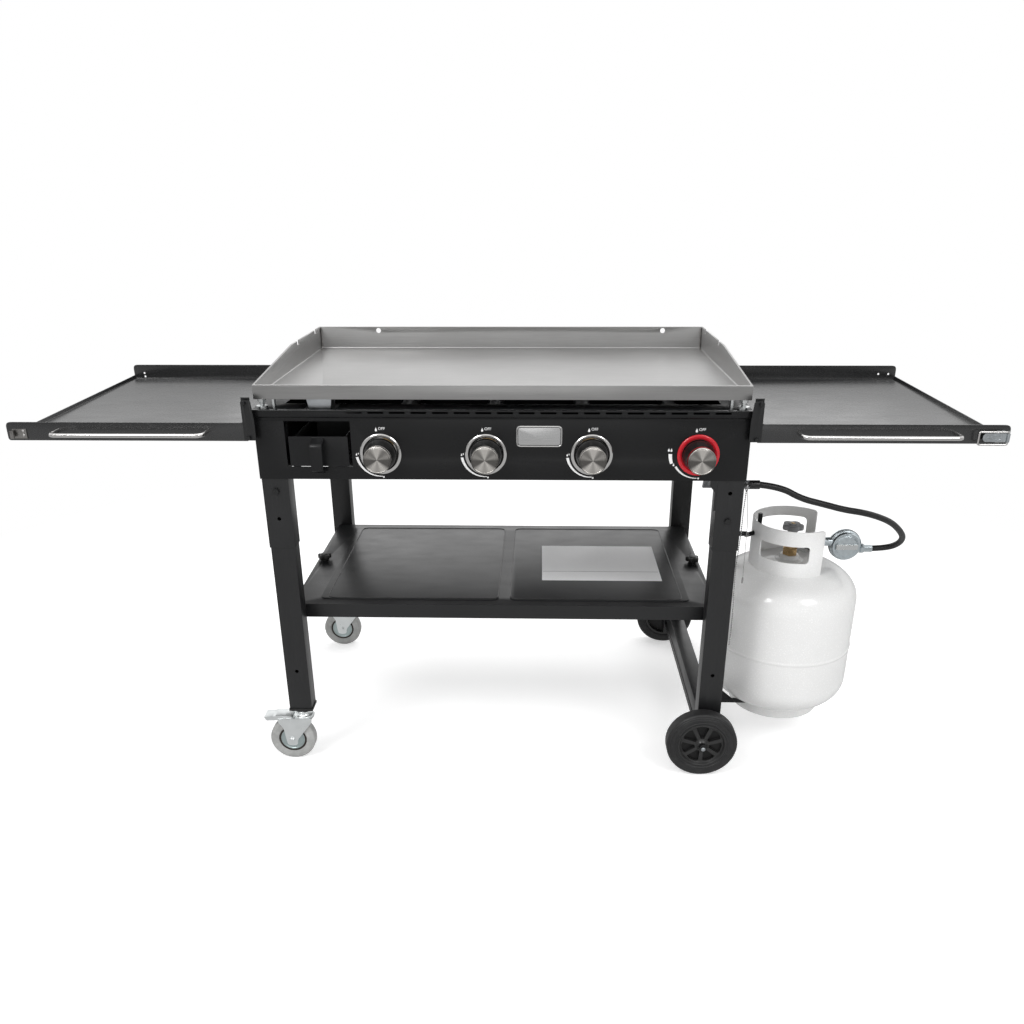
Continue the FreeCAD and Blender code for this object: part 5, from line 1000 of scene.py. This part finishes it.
def clamp_knob(name, side):
    centre = (CLAMP_X * side, 0.0)
    grip = slab("clamp_grip", star_outline(centre, 16 * MM, 4.6 * MM, 0.5), "Z",
                (CLAMP_LOW + 4 * MM, CLAMP_LOW + 15 * MM), 2.2 * MM)
    hat = turned("clamp_hat", [(0, 0), (8.5, 0), (8.0, 1.6, 1), (0, 2.2)],
                 (*centre, CLAMP_LOW + 14.8 * MM), "Z", 32)
    neck = turned("clamp_neck", [(4.2, 0), (8.8, 0, 0.6), (8.2, 5), (4.2, 5)],
                  (*centre, CLAMP_LOW), "Z", 32, 3)
    stud = cylinder("clamp_stud", (*centre, CLAMP_LOW), 4 * MM, "Z", (-29 * MM, 1 * MM))
    pieces = [tint(grip, dark_plastic), tint(hat, dark_plastic), tint(neck, dark_plastic), tint(stud, zinc)]
    assembled(f"clamp_knob_{name}", pieces)


clamp_knob("left", -1)
clamp_knob("right", 1)


# Wheels on the axle

WHEEL_X = 0.429
WHEEL_Y = 0.3085
WHEEL_Z = 0.076
HUB_WINDOWS = 7
AXLE_CAP_Y = -0.3370


def road_wheel(name, end):
    """Tyre with a stepped tread, and a hub disc with windows cut into its outer face."""
    centre = (WHEEL_X, WHEEL_Y * end, WHEEL_Z)
    tyre = turned(f"wheel_tyre_{name}_form", mirrored([
        (52, 14.5), (54.5, 15.4, 0.5), (55.5, 16.9, 0.6), (57.5, 16.9, 0.6), (58.5, 15.7, 0.5),
        (60.0, 16.4, 0.8), (66.5, 17.4, 2.0), (67.6, 16.2, 0.4), (68.6, 16.9, 0.6), (70.6, 16.4, 0.8),
        (71.6, 14.6, 0.4), (73.2, 14.6, 0.8), (76, 11.0, 2.2)]), centre, segments=144, steps=3)
    stand_for(tyre, black_tyre, f"wheel_tyre_{name}", sharp=50)
    disc = turned(f"wheel_hub_{name}_form", [
        (5.1, 17.3), (9.0, 17.3, 1.0), (12.0, 13.5, 2.0), (15.0, 11.6, 3.0), (41.0, 8.6, 4.0),
        (45.4, 9.0, 2.0), (48.4, 14.9, 1.5), (50.2, 15.6, 0.8), (51.9, 14.9, 0.6), (51.9, -14.4),
        (47.6, -14.4, 0.8), (46.6, -1.0, 2.0), (14.0, -1.0, 2.0), (14.0, -17.3), (5.1, -17.3)],
        centre, segments=140, flip=end)
    window = shape([(-3.4, 15.5, 1.2), (3.4, 15.5, 1.2), (14.2, 39.8, 2.5), (7.0, 43.6, 4), (-7.0, 43.6, 4),
                    (-14.2, 39.8, 2.5)])
    cutters = []
    for index in range(HUB_WINDOWS):
        cutter = slab("hub_window", window, "Y", (2.5 * MM * end, 20 * MM * end), 0)
        cutter.data.transform(Matrix.Rotation(2 * math.pi * index / HUB_WINDOWS, 4, "Y"))
        cutter.location = centre
        cutters.append(cutter)
    bpy.context.view_layer.update()
    tint(cut_with(disc, *cutters), hub_plastic)
    # The window floors are painted near-black as shade.
    paint_where(disc, painted_shade_black, lambda spot: abs(spot.y) < 2.6 * MM)
    stand_for(disc, None, f"wheel_hub_{name}", sharp=30)


road_wheel("front", -1)
road_wheel("rear", 1)
dressed("wheel_axle", bolt_black, 0.5)
extra(turned("axle_cap", [(0, -2.2), (2.6, -2.0, 1), (4.6, -0.6, 1), (5.0, 1.6), (0, 1.6)],
             (WHEEL_X, AXLE_CAP_Y, WHEEL_Z), segments=40), cast_zinc, "wheel_axle")


# Swivel casters

CASTER_X = -0.4457
CASTER_Y = 0.268
CASTER_R = 0.050
AXLE_X = CASTER_X - 28 * MM
FORK_TOP = 0.107
FORK_INSIDE = 13.3 * MM
FORK_OUTSIDE = 15.5 * MM
PEDAL_PIN = (CASTER_X - 50 * MM, 0.103)
PEDAL_TOE = (CASTER_X - 86 * MM, FORK_TOP + 3 * MM)


def caster_wheel(name, y):
    centre = (AXLE_X, y, CASTER_R)
    tyre = turned("caster_tyre", mirrored([
        (30.8, 8.6), (31.2, 10.9, 0.6), (33.0, 11.5, 2.0), (44.0, 12.0, 3.0), (50.0, 10.0, 5.0)]), centre,
        segments=112, steps=5)
    seam = turned("caster_seam", mirrored([(26.0, 9.9), (31.2, 9.9, 0.3)]), centre, steps=3)
    core = turned("caster_core", mirrored([
        (5.1, 13.0), (10.0, 13.0, 1.0), (12.0, 9.6, 1.5), (23.4, 9.2, 1.5), (24.6, 10.6, 1.0),
        (26.6, 10.2, 0.6)]), centre)
    pieces = [tint(tyre, grey_tyre), tint(seam, seam_dark), tint(core, caster_disc)]
    assembled(f"caster_wheel_{name}", pieces, sharp=40)


def caster_fork(name, y):
    """Two cheeks and a bridge under the ball race, with the heads of the axle and the pedal's rivets."""
    cheek = shape([(-56, -1, 2), (20, -1, 3), (19, -11, 6), (6, -28, 20), (-14.5, -55, 12), (-17, -70, 10),
                   (-28, -71.5, 9), (-39, -70, 10), (-41.5, -55, 12), (-45, -27, 16), (-55, -13, 6)],
                  6, (CASTER_X, FORK_TOP))
    pieces = [slab("fork_cheek", cheek, "Y", (y + FORK_INSIDE * sign, y + FORK_OUTSIDE * sign), 0.6 * MM)
              for sign in (-1, 1)]
    bridge = shape([(-44, -15.5, 2), (14, -15.5, 10), (21, 0, 12), (14, 15.5, 10), (-44, 15.5, 2)],
                   6, (CASTER_X, y))
    pieces.append(slab("fork_bridge", bridge, "Z", (FORK_TOP - 3 * MM, FORK_TOP), 1.0 * MM))
    pieces.append(turned("fork_race", [
        (6.1, 0), (18.0, 0), (21.0, 1.5, 1.5), (21.0, 4.6, 2.0), (17.0, 6.4, 1.5), (16.2, 8.0, 1.2),
        (15.0, 9.5, 0.8), (6.1, 9.5)], (CASTER_X, y, FORK_TOP), "Z", 72, 5))
    for sign in (-1, 1):
        side = y + FORK_OUTSIDE * sign
        pieces.append(turned("fork_bolt", [
            (0, 0), (8.4, 0), (8.4, 0.9, 0.3), (5.6, 1.2, 0.6), (5.2, 3.2, 1.2), (0, 4.0)],
            (AXLE_X, side, CASTER_R), segments=40, flip=sign))
        pieces.append(turned("fork_rivet", [(0, 0), (3.4, 0), (3.2, 1.0, 0.8), (0, 1.6)],
                             (PEDAL_PIN[0], side, PEDAL_PIN[1]), segments=24, flip=sign))
    assembled(f"caster_fork_{name}", pieces, caster_zinc)


def caster_brake(name, y):
    """Stepped pedal with a flange down each side, on its pin."""
    tread = shape([(0, -1.2), (20, 0, 4), (26, 2.4, 3), (48, 2.8, 3), (62, 0.6), (62, -1.0), (47, 1.0, 3),
                   (27, 0.7, 3), (21, -1.7, 4), (0, -2.9)], 5, PEDAL_TOE)
    flange = shape([(1, -1.2), (20, -0.2, 3), (28, 2.0, 1), (62, 0.2, 1), (62, -5.5, 2), (34, -8.5, 4),
                    (4, -10.0, 4)], 4, PEDAL_TOE)
    pieces = [slab("pedal_tread", tread, "Y", span(y, 14.6), 0.5 * MM)]
    pieces += [slab("pedal_flange", flange, "Y", (y + 13.2 * MM * sign, y + 14.8 * MM * sign), 0.3 * MM)
               for sign in (-1, 1)]
    pieces.append(cylinder("pedal_pin", (PEDAL_PIN[0], y, PEDAL_PIN[1]), 4.1 * MM, "Y", span(0, 15.4)))
    assembled(f"caster_brake_{name}", pieces, caster_zinc)


for name, y in (("front", -CASTER_Y), ("rear", CASTER_Y)):
    caster_wheel(name, y)
    caster_fork(name, y)
    caster_brake(name, y)
assembled("caster_stems", [turned("caster_stem", [
    (0, 103.7), (6, 103.7), (6, 117.0), (15.5, 117.0, 0.5), (17, 118.2, 1.2), (17, 122.0, 1.6),
    (14.5, 124.0, 1.0), (10.2, 124.0), (10.2, 128.0), (6, 128.0), (6, 150.0, 1.0), (0, 150.0)],
    (CASTER_X, y, 0), "Z", 56) for y in (-CASTER_Y, CASTER_Y)], caster_zinc)


# Gas tank and its collar

TANK = (0.636, -0.088)
TANK_R = 0.1535
SIDE_LOW = 0.150
SIDE_HIGH = 0.337
LOW_DOME = 0.082
HIGH_DOME = 0.081
DOME_POWER = 2 / 2.3
DOME_STEPS = 36
SEAM_Z = 0.2285
# Height over the seam's middle and how far it stands out, in millimetres
SEAM = ((-7, 0), (-5, 0.05), (-3.4, 0.5), (-2.2, 1.0), (-1.0, 1.35), (0, 1.45), (1.0, 1.35), (2.2, 1.0),
        (3.4, 0.5), (5, 0.05), (7, 0))
COLLAR_R = 0.086
COLLAR_SHEET = 2.6 * MM
COLLAR_Z = (0.402, 0.512)
COLLAR_ENDS = (38, 305)
COLLAR_COLUMNS = 120
# Angles, heights and corner radius of the front and the back window
COLLAR_WINDOWS = (((207, 281), (0.4400, 0.4785), 9 * MM), ((53, 150), (0.4400, 0.4900), 11 * MM))
HOOK_START = 0.500
HOOK_RUN = 40 * MM
HOOK_SHIFT = 9 * MM


def dome(side_z, height):
    """Outline of a pressed end, from the wall to the axis."""
    points = []
    for k in range(DOME_STEPS):
        turn = math.pi / 2 * k / DOME_STEPS
        points.append((TANK_R * math.cos(turn) ** DOME_POWER, side_z + height * math.sin(turn) ** DOME_POWER))
    return points + [(0, side_z + height)]


def tank():
    outline = dome(SIDE_LOW, -LOW_DOME)[::-1]
    outline += [(TANK_R + proud * MM, SEAM_Z + rise * MM) for rise, proud in SEAM]
    outline += dome(SIDE_HIGH, HIGH_DOME)
    shell = lathe("tank_body", outline, (*TANK, 0), "Z", 192)
    foot = turned("tank_foot", [
        (99.0, 100), (99.0, 65, 1.5), (94.5, 61.5, 1.2), (95.2, 60, 0.5), (100.5, 60, 2.5),
        (102.0, 64, 2.0), (102.0, 100)], (*TANK, 0), "Z", 160, 5)
    neck = turned("tank_neck", [
        (0, 408), (33, 408), (30, 418.5, 2.0), (22, 421, 2.0), (20, 429, 1.5), (0, 429)],
        (*TANK, 0), "Z", 96, 5)
    assembled("tank_shell", [shell, foot, neck], white_enamel, 40)


def collar():
    """Guard plate cut flat, with its windows, and rolled round the valve."""
    start, end = (math.radians(angle) * COLLAR_R for angle in COLLAR_ENDS)
    low, top = COLLAR_Z
    outline = smooth_outline([(start, low), (end, low), (end, top, 11 * MM), (start, top, 9 * MM)], 6)
    bm = bmesh.new()
    face = bm.faces.new([bm.verts.new((a, -COLLAR_SHEET / 2, b)) for a, b in outline])
    for item in bmesh.ops.extrude_face_region(bm, geom=[face])["geom"]:
        if isinstance(item, bmesh.types.BMVert):
            item.co.y = COLLAR_SHEET / 2
    bmesh.ops.recalc_face_normals(bm, faces=bm.faces)
    plate = from_bmesh("tank_collar_form", bm)
    cutters = []
    for angles, heights, corner in COLLAR_WINDOWS:
        ends = [math.radians(angle) * COLLAR_R for angle in angles]
        cutters.append(slab("collar_window", rounded_rectangle(ends, heights, corner), "Y", span(0, 10), 0))
    cut_with(plate, *cutters)
    bm = bmesh.new()
    bm.from_mesh(plate.data)
    for k in range(1, COLLAR_COLUMNS):
        place = start + (end - start) * k / COLLAR_COLUMNS
        bmesh.ops.bisect_plane(bm, geom=bm.verts[:] + bm.edges[:] + bm.faces[:], dist=1e-7,
                               plane_co=(place, 0, 0), plane_no=(1, 0, 0))
    round_edges(bm, 0.8 * MM, 3, 50)
    for vert in bm.verts:
        turn = vert.co.x / COLLAR_R
        radius = COLLAR_R - vert.co.y
        vert.co = (TANK[0] + radius * math.cos(turn), TANK[1] + radius * math.sin(turn), vert.co.z)
    bmesh.ops.recalc_face_normals(bm, faces=bm.faces)
    bm.to_mesh(plate.data)
    bm.free()
    stand_for(plate, collar_enamel, "tank_collar", sharp=35)


def tank_hook():
    """CAD hook whose grip follows the collar's narrower wall."""
    bm = node_form("tank_hook")
    round_edges(bm, 0.5 * MM, 2)
    for vert in bm.verts:
        vert.co.x += HOOK_SHIFT * min(1, max(0, (vert.co.x - HOOK_START) / HOOK_RUN))
    stand_for(from_bmesh("tank_hook_form", bm), coat, "tank_hook")


tank()
collar()
tank_hook()


# Tank valve, coupling nut and regulator

WHEEL_LOW = 0.488
OUTLET_Z = 0.459
NUT_X = 0.667
NUT_R = 19.6
NUT_RIBS = 30
REGULATOR = (0.755, TANK[1], 0.452)

dressed("tank_valve", brass, 0.7)
extra(slab("valve_hexagon", arc(TANK, 17 * MM, 12, 60, 6), "Z", (0.4288, 0.4450), 1.2 * MM), brass,
      "tank_valve")


def handwheel():
    grip = slab("wheel_grip", star_outline(TANK, 23.5 * MM, 4.6 * MM, 0.9), "Z",
                (WHEEL_LOW, WHEEL_LOW + 12 * MM), 2.8 * MM)
    boss = turned("wheel_boss", [(5.0, 0), (11.0, 0, 1), (9.5, 2.4, 1), (5.0, 2.4)],
                  (*TANK, WHEEL_LOW + 11.6 * MM), "Z", 40)
    sleeve = turned("wheel_sleeve", [(6.0, 0), (10.5, 0, 0.6), (10.0, -6.5, 0.6), (6.0, -6.5)],
                    (*TANK, WHEEL_LOW + 0.5 * MM), "Z", 40, 3)
    screw = turned("wheel_screw", [(0, 0), (4.6, 0), (4.4, 2.2, 0.8), (0, 2.8)],
                   (*TANK, WHEEL_LOW + 12.2 * MM), "Z", 32)
    pieces = [tint(grip, grey_plastic), tint(boss, grey_plastic), tint(sleeve, dark_plastic),
              tint(screw, brass)]
    assembled("tank_handwheel", pieces)


def ribbed_nut():
    """Hand nut with fine ribs round its larger end."""
    points = NUT_RIBS * 4
    outline = []
    for k in range(points):
        radius = (NUT_R + (0.5 if k % 4 < 2 else -0.5)) * MM
        outline += arc((TANK[1], OUTLET_Z), radius, 360 * k / points, 0, 1)
    grip = slab("nut_grip", outline, "X", (NUT_X + 8 * MM, NUT_X + 33 * MM), 0.25 * MM)
    sleeve = turned("nut_sleeve", [
        (11.4, 0), (16.6, 0, 0.8), (16.8, 34, 1), (12.6, 36, 1), (7.4, 36), (7.4, 20), (11.4, 19)],
        (NUT_X, TANK[1], OUTLET_Z), "X", 48)
    assembled("coupling_nut", [grip, sleeve], dark_plastic)


def regulator():
    """CAD body with a round case that has a crimped rim, a bead on each face and a raised bar in front; the
    crimp and a line round the bar are painted near-black as shade.
    """
    bm = node_form("regulator")
    round_edges(bm, 0.8 * MM, 3)
    x, y, z = REGULATOR
    pieces = [tint(from_bmesh("regulator_body", bm), regulator_metal)]
    # The crimp and the line round the bar are near-black painted shade.
    crimp = loop("regulator_crimp", arc((x, z), 34.2 * MM, 0, 3.75, 96), y + 0.5 * MM, 1.3, 10)
    bar = slab("regulator_bar", rounded_rectangle(span(x, 24), span(z, 6.4), 3 * MM), "Y",
               (y - 18.6 * MM, y - 12 * MM), 1.2 * MM)
    line = loop("regulator_painted_shadow_line", rounded_rectangle(span(x, 25.2), span(z, 7.6), 4 * MM), y - 13.2 * MM, 0.7)
    pieces += [tint(crimp, painted_shade_black), tint(bar, zinc), tint(line, painted_shade_black)]
    case = turned("regulator_case", [
        (0, 13.4), (30.0, 13.4, 1), (33.6, 5.0, 2), (33.6, -5.0, 2), (30.0, -13.4, 1), (0, -13.4)], REGULATOR)
    beads = [loop("regulator_bead", arc((x, z), 25.5 * MM, 0, 5.625, 64), y + 13.3 * MM * sign, 0.9)
             for sign in (-1, 1)]
    pieces += [tint(piece, regulator_metal) for piece in (case, *beads)]
    assembled("regulator", pieces)


handwheel()
ribbed_nut()
regulator()


# Gas manifold, whose inlet fitting is black

FITTING_X = 0.4963

manifold = dressed("gas_manifold", galvanised, 0.5)
paint_where(manifold, ferrule_black, lambda spot: spot.x > FITTING_X)


# Match holder on its bead chain

CHAIN = (0.480, -0.272)
RING_Z = 0.6445
BEADS = 84
BEAD_STEP = 4.1 * MM


def match_chain():
    """Ring, beads on a wire that sways a little, and the holder's rod with its pin."""
    x, y = CHAIN
    ring = tube("chain_ring", [(x, a, b) for a, b in arc((y, RING_Z), 8 * MM, 0, 11.25, 32)], 1.1 * MM, 10,
                closed=True)
    places = []
    bm = bmesh.new()
    for k in range(BEADS):
        sway = 1.6 * MM * math.sin(k * 0.11) - 3.2 * MM * min(1, k / 10)
        places.append(Vector((x + sway, y, RING_Z - 8.6 * MM - k * BEAD_STEP)))
        made = bmesh.ops.create_uvsphere(bm, u_segments=10, v_segments=6, radius=1.45 * MM)
        for vert in made["verts"]:
            vert.co += places[-1]
    chain = from_bmesh("chain_beads", bm)
    wire = tube("chain_wire", places, 0.4 * MM, 6)
    # The rod's points are millimetres beside the chain and below the ring
    rod = tube("match_rod", [(x + out * MM, y, RING_Z - down * MM) for out, down in (
        (1.5, 7.5), (5, 30), (9, 80), (11, 196))], 0.55 * MM, 8)
    pin = tube("match_pin", [(x + 11 * MM, y, RING_Z - down * MM) for down in (194, 206)], 1.7 * MM, 10)
    pieces = [ring, chain, wire, rod, pin]
    assembled("match_chain", pieces, chain_steel, 60)


match_chain()


# Finishes of the CAD nodes that stay as they are

for material, nodes in (
        # Burners and runners in steel darkened as painted shade.
        (burner_steel_painted_shade, ("burners", "grease_tray_runners")),
        (zinc, ("levelling_feet",)),
        (brass, ("valve_stem_1", "valve_stem_2", "valve_stem_3", "valve_stem_4", "gas_valves"))):
    for node in nodes:
        kept(node, material)
